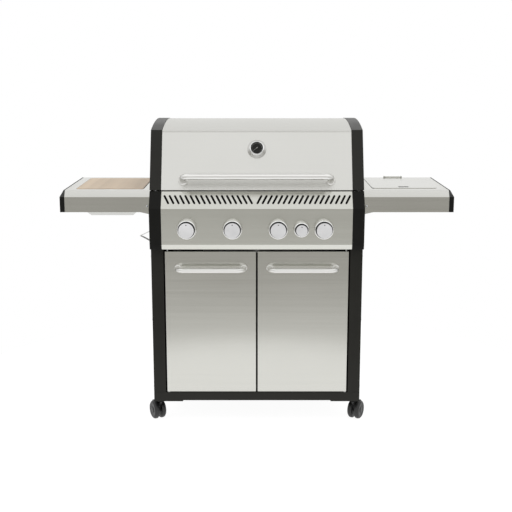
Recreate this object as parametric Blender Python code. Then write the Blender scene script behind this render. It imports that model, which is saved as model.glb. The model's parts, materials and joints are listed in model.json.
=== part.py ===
"""Gas barbecue grill on a two-door cart, built as separate named pieces.

Units are metres, +Z is up, and the grill faces -Y. The origin is on the ground under the
centre of the overall box. A depth is measured backwards from the front plane of the doors,
so that a piece in front of the doors has a negative depth.
"""

import math

import bmesh
import bpy
from mathutils import Matrix, Vector

# Gaps and walls
FIT = 0.0003  # between pieces that touch
PIN_PLAY = 0.0003  # round a turning pin
SHEET = 0.002  # folded steel
SHELL = 0.0025  # side panels, base tray and hood caps
CAST = 0.003  # firebox

# Cabinet
BODY_WIDTH = 0.770
CABINET_DEPTH = 0.480
COLUMN_WIDTH = 0.045
COLUMN_RETURN = 0.015
REAR_FLANGE = 0.030
WHEEL_RADIUS = 0.035
CASTER_CLEARANCE = 0.017  # from the top of the wheels to the caster plate
CASTER_PLATE = 0.004
CASTER_PLATE_WIDTH = 0.108
CASTER_PLATE_DEPTH = 0.095
RAIL_HEIGHT = 0.032
DOOR_HEIGHT = 0.535
DOOR_BOTTOM_GAP = 0.0025
DOOR_TOP_GAP = 0.009
DOOR_SIDE_GAP = 0.005
DOOR_CENTRE_GAP = 0.006
DOOR_THICKNESS = 0.018
DOOR_PIN_INSET = 0.009  # pin axis from the door's outer edge and from its front
DOOR_PIN_RADIUS = 0.003
DOOR_HANDLE_RADIUS = 0.0085
DOOR_HANDLE_STANDOFF = 0.048
DOOR_HANDLE_BEND = 0.024
DOOR_HANDLE_INSET = 0.047  # centreline of the handle's ends from the door's two edges
DOOR_HANDLE_DROP = 0.060  # below the door's top
CATCH_HALF_WIDTH = 0.012
CATCH_DEPTH = 0.010
CATCH_HEIGHT = 0.027

# Control panel
LIP_HEIGHT = 0.024
LIP_FRONT = 0.018  # height of the lip's nearly upright front
LIP_LEAN = 0.005
FACE_HEIGHT = 0.131
STRIP_HEIGHT = 0.057
FACE_TOP_PROUD = 0.043
FACE_BOTTOM_PROUD = 0.040
PANEL_CAP_WIDTH = 0.043
PANEL_TOP_FLANGE = 0.025
SLOT_PITCH = 0.01865
SLOT_WIDTH = 0.0070
SLOT_LEAN = 0.0175
SLOT_START = 0.0168  # along the strip, from its top edge
SLOT_LENGTH = 0.0346
SLOT_LEFT_START = -0.0161
SLOT_RIGHT_START = 0.0006
SLOT_EDGE = 0.003

# Knobs, valves and pipes
KNOB_HEIGHT = 0.0585  # of the knobs' axis above the foot of the panel's face
KNOB_PITCH = 0.163
SMALL_KNOB_STEP = 0.083  # to the right of the third large knob
KNOB_ROW_CENTRE = -0.0055
KNOB_RADIUS = 0.0283
SMALL_KNOB_RADIUS = 0.0211
KNOB_DEPTH = 0.0385
KNOB_BORE_DEPTH = 0.020
KNOB_GAP = 0.0045  # behind the knob
BEZEL_FOOT = 0.0060  # from the bezel's bore to its outer edge at the panel
BEZEL_RIM = 0.0015  # the same at its front
BEZEL_GAP = 0.0017  # round the knob
BEZEL_PROUD = 0.026
STEM_RADIUS = 0.0037
STEM_HOLE = 0.006
VALVE_HALF = 0.012
VALVE_FRONT = -0.018
VALVE_BACK = 0.012
SPUD_RADIUS = 0.005
MANIFOLD_RADIUS = 0.008
SUPPLY_RADIUS = 0.005  # pipe to the side burner
SUPPLY_BEND = 0.010
SUPPLY_RISE = 0.035  # above the knobs' axis
SUPPLY_DEPTH = 0.030
SUPPLY_GAP = 0.020  # from the firebox's side to the pipe beside it

# Firebox and what it holds
FIREBOX_FRONT = 0.045
FIREBOX_BACK_GAP = 0.025  # from the firebox to the cabinet's back
FIREBOX_SIDE_GAP = 0.040
FIREBOX_TOP_GAP = 0.010  # from its flange to the top of the panel
FIREBOX_FLANGE_GAP = 0.002
FIREBOX_FLANGE_LAP = 0.018
LEDGE_DEPTH = 0.012
GRATE_THICKNESS = 0.012
GRATE_DROP = 0.014  # from the firebox's flange to the top of the grates
GRATE_BAR = 0.008
GRATE_PITCH = 0.021
TAMER_HALF_WIDTH = 0.045
TAMER_RISE = 0.026
TAMER_DROP = 0.070  # from the flange to the tamers' lower edges
BURNER_RADIUS = 0.016
NECK_RADIUS = 0.009
NECK_BORE = 0.0075
NECK_LENGTH = 0.020  # in front of the firebox
RACK_HEIGHT = 0.112  # above the firebox's flange
RACK_DEPTH = 0.130
RACK_BACK_GAP = 0.050
GREASE_HALF_WIDTH = 0.200
GREASE_HEIGHT = 0.0237
GREASE_FRONT = 0.100
GREASE_RAIL_DROP = 0.034  # under the firebox
GREASE_OPENING_HALF = 0.120

# Hood
HOOD_GAP = 0.004
HOOD_FACE_HEIGHT = 0.207
HOOD_FACE_LEAN = 0.0885
HOOD_ROOF_RADIUS = 1.185
HOOD_APEX_FROM_BACK = 0.140
HOOD_FOOT_FROM_BACK = 0.004
HOOD_BACK_BULGE = 0.0195
HOOD_SHOULDER = 0.070
HOOD_CAP_WIDTH = 0.041
HOOD_CAP_PROUD = 0.0015
LID_PIN_RADIUS = 0.004
LID_AXIS_FROM_BACK = 0.018
LID_AXIS_RISE = 0.015  # above the hood's foot
LID_EAR_RADIUS = 0.008
LID_EAR_WIDTH = 0.004
LID_EAR_REACH = 0.023  # from the axis forward to the ear's foot, clear of the caps' turning rear walls
LID_EAR_FOOT = 0.014
LID_HANDLE_RADIUS = 0.0125
LID_HANDLE_STANDOFF = 0.052
LID_HANDLE_BEND = 0.030
LID_HANDLE_HALF = 0.2655
LID_HANDLE_RISE = 0.0326  # of its feet above the hood's foot
THERMOMETER_RISE = 0.141
THERMOMETER_RADIUS = 0.0345
THERMOMETER_RING = 0.028
THERMOMETER_DIAL = 0.0215
THERMOMETER_HEIGHT = 0.018
PROBE_RADIUS = 0.003
PROBE_LENGTH = 0.045

# Side shelves
SHELF_WIDTH = 0.324
SHELF_DROP = 0.006  # below the top of the panel
SHELF_LENGTH = 0.461
SHELF_NOSE = 0.075
SHELF_NOSE_DROP = 0.015
SHELF_APRON = 0.070
SHELF_FLANGE = 0.015
SHELF_CAP_FRONT = 0.017
SHELF_CAP_TOP = 0.005
SHELF_WEDGE = 0.035
SHELF_WEDGE_DROP = 0.008
BOARD_SIZE = (0.248, 0.319)
BOARD_CENTRE = (0.159, 0.2675)  # from the cabinet's side, and the depth
BOARD_THICKNESS = 0.015
BOARD_PROUD = 0.0015
BOARD_PLAY = 0.002
BOARD_NOTCH = (0.031, 0.006)
TRAY_FLOOR_HALF = (0.090, 0.130)
TRAY_SEAT = 0.012
TRAY_DEPTH = 0.0895
BURNER_LID_SIZE = (0.240, 0.315)
BURNER_LID_CENTRE = (0.165, 0.2825)
BURNER_LID_HEIGHT = 0.0135
BURNER_LID_PLAY = 0.0010
BURNER_LID_CORNER = 0.012
BURNER_PIN_RADIUS = 0.002
BURNER_BARREL_RADIUS = 0.0028
BURNER_HINGE_RISE = 0.0036  # of the lid's axis above the shelf
BURNER_HINGE_HALF = 0.030
BURNER_PAN_DEPTH = 0.060
PAN_SIDE_GAP = 0.0015  # from a pan to the opening over it
BURNER_HEAD_RADIUS = 0.035
SUPPORT_HALF = 0.080
SUPPORT_BAR = 0.006

# Bottle opener, a folded strip on the left side
OPENER_REACH = 0.040
OPENER_DEPTHS = (0.040, 0.060)
OPENER_BELOW_TOP = 0.170
OPENER_ARM_RISE = 0.019
OPENER_ARM_DROP = 0.022
OPENER_FOOT = 0.012

# Casters
CASTER_FROM_SIDE = 0.0155  # swivel axis from the cabinet's side
CASTER_FROM_END = 0.041  # swivel axis from the cabinet's front or back
CASTER_TRAIL = 0.020
CASTER_YAW = 27.0
WHEEL_PAIR_HALF = 0.0235
WHEEL_GAP_HALF = 0.0055
FORK_HALF = 0.004
AXLE_RADIUS = 0.004
CASTER_STEM_RADIUS = 0.005

# Worked out from the sizes above
HALF = BODY_WIDTH / 2
CASTER_PLATE_BOTTOM = 2 * WHEEL_RADIUS + CASTER_CLEARANCE
RAIL_BOTTOM = CASTER_PLATE_BOTTOM + CASTER_PLATE
RAIL_TOP = RAIL_BOTTOM + RAIL_HEIGHT
DOOR_BOTTOM = RAIL_TOP + DOOR_BOTTOM_GAP
DOOR_TOP = DOOR_BOTTOM + DOOR_HEIGHT
LIP_BOTTOM = DOOR_TOP + DOOR_TOP_GAP
FACE_BOTTOM = LIP_BOTTOM + LIP_HEIGHT
FACE_TOP = FACE_BOTTOM + FACE_HEIGHT
PANEL_TOP = FACE_TOP + STRIP_HEIGHT
PANEL_HALF = HALF - PANEL_CAP_WIDTH
KNOB_Z = FACE_BOTTOM + KNOB_HEIGHT
KNOB_BACK = -(FACE_TOP_PROUD + KNOB_GAP)
KNOB_FRONT = KNOB_BACK - KNOB_DEPTH
SUPPLY_HEIGHT = KNOB_Z + SUPPLY_RISE
KNOB_XS = [KNOB_ROW_CENTRE + (i - 1.5) * KNOB_PITCH for i in range(4)]
SMALL_KNOB_X = KNOB_XS[2] + SMALL_KNOB_STEP
FIREBOX_HALF = HALF - FIREBOX_SIDE_GAP
FIREBOX_BACK = CABINET_DEPTH - FIREBOX_BACK_GAP
FIREBOX_TOP = PANEL_TOP - FIREBOX_TOP_GAP
FIREBOX_BOTTOM = LIP_BOTTOM - 0.001
GRATE_TOP = FIREBOX_TOP - GRATE_DROP
GRATE_LEDGE = GRATE_TOP - GRATE_THICKNESS - FIT
TAMER_LEDGE = FIREBOX_TOP - TAMER_DROP - FIT
HOOD_FOOT = PANEL_TOP + HOOD_GAP
HOOD_CREASE = HOOD_FOOT + HOOD_FACE_HEIGHT
HOOD_HALF = HALF - HOOD_CAP_WIDTH - FIT
LID_AXIS = (CABINET_DEPTH - LID_AXIS_FROM_BACK, HOOD_FOOT + LID_AXIS_RISE)
FACE_TANGENT = Vector((HOOD_FACE_LEAN, HOOD_FACE_HEIGHT)).normalized()
FACE_NORMAL = Vector((-FACE_TANGENT.y, FACE_TANGENT.x))
SHELF_TOP = PANEL_TOP - SHELF_DROP
SHELF_INNER = HALF + FIT
SHELF_OUTER = HALF + SHELF_WIDTH
BACK_MOST = CABINET_DEPTH - HOOD_FOOT_FROM_BACK + HOOD_BACK_BULGE + HOOD_CAP_PROUD
FRONT_Y = -(KNOB_FRONT + BACK_MOST) / 2

STEEL = ("steel", (0.62, 0.62, 0.60), 0.34, 1.0)
BLACK_METAL = ("black_metal", (0.030, 0.029, 0.026), 0.55, 0.0)
CHROME = ("chrome", (0.80, 0.80, 0.80), 0.12, 1.0)
SILVER = ("silver", (0.78, 0.78, 0.79), 0.35, 0.3)
CAST_IRON = ("cast_iron", (0.035, 0.035, 0.036), 0.75, 0.2)
ENAMEL = ("enamel", (0.020, 0.020, 0.021), 0.35, 0.0)
BRASS = ("brass", (0.72, 0.55, 0.28), 0.35, 1.0)
BAMBOO = ("bamboo", (0.61, 0.46, 0.33), 0.60, 0.0)
RUBBER = ("rubber", (0.022, 0.022, 0.024), 0.60, 0.0)


def place(x, depth, z):
    """The world point at this x, depth behind the doors' front plane, and height."""
    return Vector((x, FRONT_Y + depth, z))


def clear_scene():
    for obj in list(bpy.data.objects):
        bpy.data.objects.remove(obj, do_unlink=True)


def material_of(finish):
    """The Principled material of a finish, made when it is first used."""
    name, colour, roughness, metallic = finish
    material = bpy.data.materials.get(name)
    if material is None:
        material = bpy.data.materials.new(name)
        material.use_nodes = True
        shader = material.node_tree.nodes["Principled BSDF"]
        shader.inputs["Base Color"].default_value = (*colour, 1.0)
        shader.inputs["Roughness"].default_value = roughness
        shader.inputs["Metallic"].default_value = metallic
        material.diffuse_color = (*colour, 1.0)
    return material


def add_object(name, mesh, finish):
    obj = bpy.data.objects.new(name, mesh)
    bpy.context.scene.collection.objects.link(obj)
    if finish and not mesh.materials:
        mesh.materials.append(material_of(finish))
    return obj


def mesh_from(name, bm, smooth_degrees=None):
    bmesh.ops.recalc_face_normals(bm, faces=bm.faces)
    mesh = bpy.data.meshes.new(name)
    bm.to_mesh(mesh)
    bm.free()
    if smooth_degrees:
        mesh.shade_smooth()
        mesh.set_sharp_from_angle(angle=math.radians(smooth_degrees))
    return mesh


def boxes(name, spans, finish=None):
    """One object of separate boxes, each given as its spans in x, depth and z."""
    bm = bmesh.new()
    for (x0, x1), (d0, d1), (z0, z1) in spans:
        centre = place((x0 + x1) / 2, (d0 + d1) / 2, (z0 + z1) / 2)
        size = Matrix.Diagonal((abs(x1 - x0), abs(d1 - d0), abs(z1 - z0), 1.0))
        bmesh.ops.create_cube(bm, size=1.0, matrix=Matrix.Translation(centre) @ size)
    return add_object(name, mesh_from(name, bm), finish)


def add_prism(bm, outline, low, high, corner):
    """Adds the solid between two copies of an outline. corner gives the point of (a, b, along)."""
    ends = []
    for along in (low, high):
        ends.append([bm.verts.new(corner(a, b, along)) for a, b in outline])
    bm.faces.new(ends[0])
    bm.faces.new(reversed(ends[1]))
    count = len(outline)
    for i in range(count):
        j = (i + 1) % count
        bm.faces.new((ends[0][j], ends[0][i], ends[1][i], ends[1][j]))


def across(depth, z, x):
    """Corner rule for a (depth, z) outline extruded along X."""
    return place(x, depth, z)


def upward(x, depth, z):
    """Corner rule for an (x, depth) outline extruded along Z."""
    return place(x, depth, z)


def backward(x, z, depth):
    """Corner rule for an (x, z) outline extruded along the depth."""
    return place(x, depth, z)


def prism(name, outline, span, corner, finish=None):
    bm = bmesh.new()
    add_prism(bm, outline, span[0], span[1], corner)
    return add_object(name, mesh_from(name, bm), finish)


def turned(name, profile, origin, axis, finish=None, sides=24):
    """A solid turned about axis through origin, from (radius, height) points in order."""
    bm = bmesh.new()
    rings = []
    for radius, height in profile:
        if radius == 0:
            rings.append([bm.verts.new((0, 0, height))])
            continue
        turns = [2 * math.pi * i / sides for i in range(sides)]
        rings.append([bm.verts.new((radius * math.cos(t), radius * math.sin(t), height)) for t in turns])
    for ring, after in zip(rings, rings[1:]):
        for i in range(sides):
            j = (i + 1) % sides
            corners = [
                ring[i % len(ring)], ring[j % len(ring)], after[j % len(after)], after[i % len(after)]
            ]
            bm.faces.new(dict.fromkeys(corners))
    obj = add_object(name, mesh_from(name, bm, 35), finish)
    turn = Vector((0, 0, 1)).rotation_difference(Vector(axis)).to_matrix().to_4x4()
    obj.matrix_world = Matrix.Translation(origin) @ turn
    return obj


def rod(name, start, end, radius, finish=None, sides=16):
    """A plain round rod between two points."""
    length = (end - start).length
    profile = [(0, 0), (radius, 0), (radius, length), (0, length)]
    return turned(name, profile, start, (end - start).normalized(), finish, sides)


def rounded_path(corners, radius, steps=5):
    """The corners' path with each inner corner replaced by an arc of this radius."""
    path = [corners[0]]
    for before, corner, after in zip(corners, corners[1:], corners[2:]):
        back, ahead = (before - corner).normalized(), (after - corner).normalized()
        half_angle = back.angle(ahead) / 2
        reach = radius / math.tan(half_angle)
        centre = corner + (back + ahead).normalized() * radius / math.sin(half_angle)
        first, last = corner + back * reach - centre, corner + ahead * reach - centre
        sweep = first.angle(last)
        for i in range(steps + 1):
            t = i / steps
            share = (math.sin((1 - t) * sweep) * first + math.sin(t * sweep) * last) / math.sin(sweep)
            path.append(centre + share)
    return path + [corners[-1]]


def tube(name, path, radius, finish=None, sides=12):
    """A round bar along a path of world points, closed at both ends."""
    bm = bmesh.new()
    count = len(path)
    tangents = [(path[min(i + 1, count - 1)] - path[max(i - 1, 0)]).normalized() for i in range(count)]
    side = tangents[0].orthogonal().normalized()
    rings = []
    for i, (point, tangent) in enumerate(zip(path, tangents)):
        if i:
            side = tangents[i - 1].rotation_difference(tangent) @ side
        up = tangent.cross(side)
        turns = [2 * math.pi * k / sides for k in range(sides)]
        rings.append(
            [bm.verts.new(point + radius * (math.cos(t) * side + math.sin(t) * up)) for t in turns]
        )
    bm.faces.new(rings[0])
    bm.faces.new(reversed(rings[-1]))
    for ring, after in zip(rings, rings[1:]):
        for k in range(sides):
            j = (k + 1) % sides
            bm.faces.new((ring[k], ring[j], after[j], after[k]))
    return add_object(name, mesh_from(name, bm, 40), finish)


def offset_path(path, distance, closed=False):
    """The path moved sideways to its left by distance, mitred at its corners."""
    points = [Vector(p) for p in path]
    count = len(points)
    moved = []
    for i, point in enumerate(points):
        steps = []
        if closed or i > 0:
            steps.append(point - points[i - 1])
        if closed or i < count - 1:
            steps.append(points[(i + 1) % count] - point)
        normals = [Vector((-s.y, s.x)).normalized() for s in steps]
        mean = sum(normals, Vector((0, 0))).normalized()
        moved.append(point + mean * distance / mean.dot(normals[0]))
    return [tuple(p) for p in moved]


def folded(path, thickness):
    """The closed outline of a sheet folded along the path, with its wall on the path's left."""
    return list(path) + offset_path(path, thickness)[::-1]


def rounded_rectangle(centre, half, radius, steps=4):
    """The (a, b) outline of a rectangle with round corners."""
    outline = []
    for quarter, (sx, sy) in enumerate(((1, 1), (-1, 1), (-1, -1), (1, -1))):
        for i in range(steps + 1):
            angle = math.pi / 2 * (quarter + i / steps)
            outline.append(
                (
                    centre[0] + sx * (half[0] - radius) + radius * math.cos(angle),
                    centre[1] + sy * (half[1] - radius) + radius * math.sin(angle),
                )
            )
    return outline


def pan(name, centre, levels, thickness, finish):
    """A pressed pan: rectangles of (half width, half length, z), from its flange in to its floor."""
    bm = bmesh.new()
    rings = []
    for half_x, half_d, z in levels:
        signs = ((-1, -1), (1, -1), (1, 1), (-1, 1))
        rings.append(
            [bm.verts.new(place(centre[0] + sx * half_x, centre[1] + sd * half_d, z)) for sx, sd in signs]
        )
    for ring, after in zip(rings, rings[1:]):
        for i in range(4):
            j = (i + 1) % 4
            bm.faces.new((ring[i], ring[j], after[j], after[i]))
    bm.faces.new(rings[-1])
    obj = add_object(name, mesh_from(name, bm), finish)
    wall = obj.modifiers.new("wall", "SOLIDIFY")
    wall.thickness = thickness
    wall.offset = -1
    wall.use_even_offset = True
    return obj


def combine(obj, helper, operation):
    """Adds a live Boolean, and hides its helper."""
    modifier = obj.modifiers.new(helper.name, "BOOLEAN")
    modifier.operation = operation
    modifier.solver = "EXACT"
    modifier.object = helper
    helper.hide_render = True
    helper.display_type = "WIRE"


def cut(obj, *cutters):
    for cutter in cutters:
        combine(obj, cutter, "DIFFERENCE")


def join(obj, *additions):
    for addition in additions:
        combine(obj, addition, "UNION")


def pivot(name, point, pieces, yaw=0.0):
    """An empty on a joint's axis, with the pieces that turn or slide with it."""
    empty = bpy.data.objects.new(name, None)
    bpy.context.scene.collection.objects.link(empty)
    frame = Matrix.Translation(point) @ Matrix.Rotation(yaw, 4, "Z")
    empty.matrix_world = frame
    for piece in pieces:
        piece.parent = empty
        piece.matrix_parent_inverse = frame.inverted()
    return empty


def mirrored(outline, side):
    """An outline in (x, other), for the right side (1) or the left side (-1)."""
    return [(side * x, other) for x, other in outline]


def span(side, low, high):
    """An x span on the right side (1) or the left side (-1)."""
    return tuple(sorted((side * low, side * high)))


SIDES = (("left", -1), ("right", 1))


# Cart


def caster_spots():
    """(name, side, end, swivel depth) of each caster. end is -1 at the front and 1 at the back."""
    for end_name, end, depth in (
        ("front", -1, CASTER_FROM_END), ("rear", 1, CABINET_DEPTH - CASTER_FROM_END)
    ):
        for side_name, side in SIDES:
            yield f"{end_name}_{side_name}", side, end, depth


def door_pin_x():
    return HALF - COLUMN_WIDTH - DOOR_SIDE_GAP - DOOR_PIN_INSET


def build_base_tray():
    depth_end = CABINET_DEPTH
    tray = boxes("base_tray", [((-HALF, HALF), (0, depth_end), (RAIL_BOTTOM, RAIL_TOP))], BLACK_METAL)
    hollow = (
        (SHELL - HALF, HALF - SHELL),
        (SHELL, depth_end - SHELL),
        (RAIL_BOTTOM - SHELL, RAIL_TOP - SHELL),
    )
    cut(tray, boxes("base_tray_hollow", [hollow]))
    plates = []
    for _, side, end, _ in caster_spots():
        depths = (0, CASTER_PLATE_DEPTH) if end < 0 else (depth_end - CASTER_PLATE_DEPTH, depth_end)
        plates.append(
            (span(side, HALF - CASTER_PLATE_WIDTH, HALF), depths, (CASTER_PLATE_BOTTOM, RAIL_BOTTOM + 0.001))
        )
    join(tray, boxes("base_tray_plates", plates))
    catch_front = DOOR_THICKNESS + 0.0015
    catch = (
        (-CATCH_HALF_WIDTH, CATCH_HALF_WIDTH),
        (catch_front, catch_front + CATCH_DEPTH),
        (RAIL_TOP - SHELL / 2, RAIL_TOP + CATCH_HEIGHT),
    )
    join(tray, boxes("base_tray_catch", [catch]))
    for name, side, _, depth in caster_spots():
        x = side * (HALF - CASTER_FROM_SIDE)
        low, high = place(x, depth, CASTER_PLATE_BOTTOM - 0.002), place(x, depth, RAIL_BOTTOM + 0.003)
        cut(tray, rod(f"caster_socket_{name}", low, high, CASTER_STEM_RADIUS + PIN_PLAY))
    for name, side in SIDES:
        x = side * door_pin_x()
        low, high = place(
            x, DOOR_PIN_INSET, RAIL_TOP - 2 * SHELL
        ), place(x, DOOR_PIN_INSET, RAIL_TOP + SHELL)
        cut(tray, rod(f"lower_pin_hole_{name}", low, high, DOOR_PIN_RADIUS + PIN_PLAY))


def build_side_panels():
    inner, back = HALF - COLUMN_WIDTH, CABINET_DEPTH
    outline = [
        (HALF, 0),
        (HALF, back),
        (HALF - REAR_FLANGE, back),
        (HALF - REAR_FLANGE, back - SHELL),
        (HALF - SHELL, back - SHELL),
        (HALF - SHELL, SHELL),
        (inner + SHELL, SHELL),
        (inner + SHELL, COLUMN_RETURN),
        (inner, COLUMN_RETURN),
        (inner, 0),
    ]
    for name, side in SIDES:
        panel = prism(
            f"side_panel_{name}",
            mirrored(outline, side),
            (RAIL_TOP + FIT, PANEL_TOP),
            upward,
            BLACK_METAL,
        )
        relief = (
            span(side, inner - SHELL, PANEL_HALF + 0.002),
            (-SHELL, COLUMN_RETURN + SHELL),
            (LIP_BOTTOM - SHELL, PANEL_TOP + SHELL),
        )
        hinge_notch = (
            span(side, HALF - REAR_FLANGE - SHELL, HALF + SHELL),
            (LID_AXIS[0] - 0.027, back + SHELL),
            (PANEL_TOP - 0.016, PANEL_TOP + SHELL),
        )
        cut(panel, boxes(f"side_panel_relief_{name}", [relief, hinge_notch]))
        if side > 0:
            x = HALF - SHELL / 2
            start, end = (place(x + s, BURNER_LID_CENTRE[1], SUPPLY_HEIGHT) for s in (-SHELL, SHELL))
            cut(panel, rod("supply_hole", start, end, SUPPLY_RADIUS + 0.002))


def build_rear_panel():
    back = CABINET_DEPTH - SHELL - FIT
    top = FIREBOX_BOTTOM - GREASE_RAIL_DROP - 0.002
    width = HALF - SHELL - FIT
    spans = [((-width, width), (back - SHEET, back), (RAIL_TOP + FIT, top))]
    boxes("rear_panel", spans, BLACK_METAL)


def build_doors():
    outer = HALF - COLUMN_WIDTH - DOOR_SIDE_GAP
    inner = DOOR_CENTRE_GAP / 2
    handle_z = DOOR_TOP - DOOR_HANDLE_DROP
    for name, side in SIDES:
        door = boxes(
            f"door_{name}",
            [(span(side, inner, outer), (0, DOOR_THICKNESS), (DOOR_BOTTOM, DOOR_TOP))],
            STEEL,
        )
        hollow = (
            span(side, inner + SHEET, outer - SHEET),
            (SHEET, DOOR_THICKNESS + SHEET),
            (DOOR_BOTTOM + SHEET, DOOR_TOP - SHEET),
        )
        cut(door, boxes(f"door_hollow_{name}", [hollow]))
        x = side * door_pin_x()
        ends = ((DOOR_BOTTOM - 0.010, DOOR_BOTTOM + 0.012), (DOOR_TOP - 0.012, LIP_BOTTOM + SHEET + 0.001))
        for level, (low, high) in zip(("lower", "upper"), ends):
            pin = rod(
                f"door_{level}_pin_{name}",
                place(x, DOOR_PIN_INSET, low),
                place(x, DOOR_PIN_INSET, high),
                DOOR_PIN_RADIUS,
                sides=12,
            )
            join(door, pin)
        near, far = side * (
            inner + DOOR_HANDLE_INSET - DOOR_CENTRE_GAP / 2
        ), side * (outer - DOOR_HANDLE_INSET)
        corners = [
            place(near, -FIT, handle_z),
            place(near, -DOOR_HANDLE_STANDOFF, handle_z),
            place(far, -DOOR_HANDLE_STANDOFF, handle_z),
            place(far, -FIT, handle_z),
        ]
        handle = tube(
            f"door_handle_{name}", rounded_path(
                corners, DOOR_HANDLE_BEND
            ), DOOR_HANDLE_RADIUS, CHROME, sides=12
        )
        pivot(f"door_axis_{name}", place(x, DOOR_PIN_INSET, DOOR_BOTTOM), [door, handle])


def build_casters():
    for name, side, end, depth in caster_spots():
        yaw = -side * math.radians(CASTER_YAW)
        # The wheels trail behind the swivel axis, turned with it.
        stem = place(side * (HALF - CASTER_FROM_SIDE), depth, 0)
        turn = Matrix.Translation(stem) @ Matrix.Rotation(yaw if end < 0 else math.pi + yaw, 4, "Z")
        fork = caster_fork(name)
        wheels = caster_wheels(name)
        for piece in (fork, wheels):
            piece.matrix_world = turn @ piece.matrix_world
        for helper in fork.modifiers:
            helper.object.matrix_world = turn @ helper.object.matrix_world
        swivel = pivot(f"swivel_axis_{name}", stem, [fork])
        roll_point = turn @ Vector((0, CASTER_TRAIL, WHEEL_RADIUS))
        roll = pivot(f"roll_axis_{name}", roll_point, [wheels])
        roll.parent = swivel
        roll.matrix_parent_inverse = Matrix.Translation(stem).inverted()


def caster_fork(name):
    """The fork round the origin: a web between the wheels, a top disc and a stem."""
    top = CASTER_PLATE_BOTTOM - 0.0015
    disc_bottom = 2 * WHEEL_RADIUS + 0.0045
    hub = [(CASTER_TRAIL + 0.011 * math.cos(t), WHEEL_RADIUS - 0.011 * math.sin(t)) for t in
           [math.pi * i / 6 for i in range(7)]]
    web = hub + [(CASTER_TRAIL - 0.040, disc_bottom + 0.002), (CASTER_TRAIL + 0.006, disc_bottom + 0.002)]
    bm = bmesh.new()
    add_prism(bm, web, -FORK_HALF, FORK_HALF, lambda y, z, x: Vector((x, y, z)))
    fork = add_object(f"caster_fork_{name}", mesh_from("caster_fork", bm), RUBBER)
    profile = [
        (0, disc_bottom),
        (0.018, disc_bottom),
        (0.022, disc_bottom + 0.004),
        (0.022, top),
        (CASTER_STEM_RADIUS, top),
        (CASTER_STEM_RADIUS, RAIL_BOTTOM + 0.008),
        (0, RAIL_BOTTOM + 0.008),
    ]
    join(fork, turned(f"caster_top_{name}", profile, Vector(), (0, 0, 1), sides=20))
    hole = rod(
        f"caster_axle_hole_{name}",
        Vector((-2 * FORK_HALF, CASTER_TRAIL, WHEEL_RADIUS)),
        Vector((2 * FORK_HALF, CASTER_TRAIL, WHEEL_RADIUS)),
        AXLE_RADIUS + PIN_PLAY,
        sides=16,
    )
    cut(fork, hole)
    return fork


def caster_wheels(name):
    """Two wheels on one axle, turned as one piece."""
    half, gap, radius = WHEEL_PAIR_HALF, WHEEL_GAP_HALF, WHEEL_RADIUS
    one = [
        (0, half - 0.003),
        (radius - 0.007, half),
        (radius, half - 0.005),
        (radius, gap),
        (AXLE_RADIUS, gap),
    ]
    profile = one + [(r, -h) for r, h in one[::-1]]
    origin = Vector((0, CASTER_TRAIL, WHEEL_RADIUS))
    return turned(f"caster_wheels_{name}", profile, origin, (1, 0, 0), RUBBER, sides=24)


# Control panel, knobs and gas


def panel_path():
    """(depth, z) of the panel's outer surface, from its top flange to its lower flange."""
    return [
        (PANEL_TOP_FLANGE, PANEL_TOP),
        (0, PANEL_TOP),
        (-FACE_TOP_PROUD, FACE_TOP),
        (-FACE_BOTTOM_PROUD, FACE_BOTTOM),
        (LIP_LEAN - FACE_BOTTOM_PROUD, FACE_BOTTOM - LIP_FRONT),
        (0, LIP_BOTTOM),
        (DOOR_THICKNESS + 0.0015 + CATCH_DEPTH, LIP_BOTTOM),
    ]


def slot_feet():
    """(x of its foot, lean) of every slot: leaning left on the left, and right on the right."""
    for start, way in ((SLOT_LEFT_START, -1), (SLOT_RIGHT_START, 1)):
        room = PANEL_HALF - SLOT_EDGE - SLOT_LEAN - way * start
        for i in range(int(room / SLOT_PITCH) + 1):
            yield start + way * i * SLOT_PITCH, way * SLOT_LEAN


def slot_cutter():
    bm = bmesh.new()
    top = Vector((0, PANEL_TOP))
    down = (Vector((-FACE_TOP_PROUD, FACE_TOP)) - top).normalized()
    out = Vector((down.y, -down.x))
    high, low = top + down * SLOT_START, top + down * (SLOT_START + SLOT_LENGTH)
    for foot, lean in slot_feet():
        ends = []
        for reach in (-2 * SHEET, 2 * SHEET):
            corners = []
            for x, point in (
                (foot, low),
                (foot + SLOT_WIDTH, low),
                (foot + SLOT_WIDTH + lean, high),
                (foot + lean, high),
            ):
                at = point + out * reach
                corners.append(bm.verts.new(place(x - SLOT_WIDTH / 2, at.x, at.y)))
            ends.append(corners)
        bm.faces.new(ends[0])
        bm.faces.new(reversed(ends[1]))
        for i in range(4):
            j = (i + 1) % 4
            bm.faces.new((ends[0][j], ends[0][i], ends[1][i], ends[1][j]))
    return add_object("panel_slots", mesh_from("panel_slots", bm), None)


def knob_row():
    """(number, x, knob radius) of every knob, from left to right."""
    xs = [(x, KNOB_RADIUS) for x in KNOB_XS] + [(SMALL_KNOB_X, SMALL_KNOB_RADIUS)]
    for number, (x, radius) in enumerate(sorted(xs), start=1):
        yield number, x, radius


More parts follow.
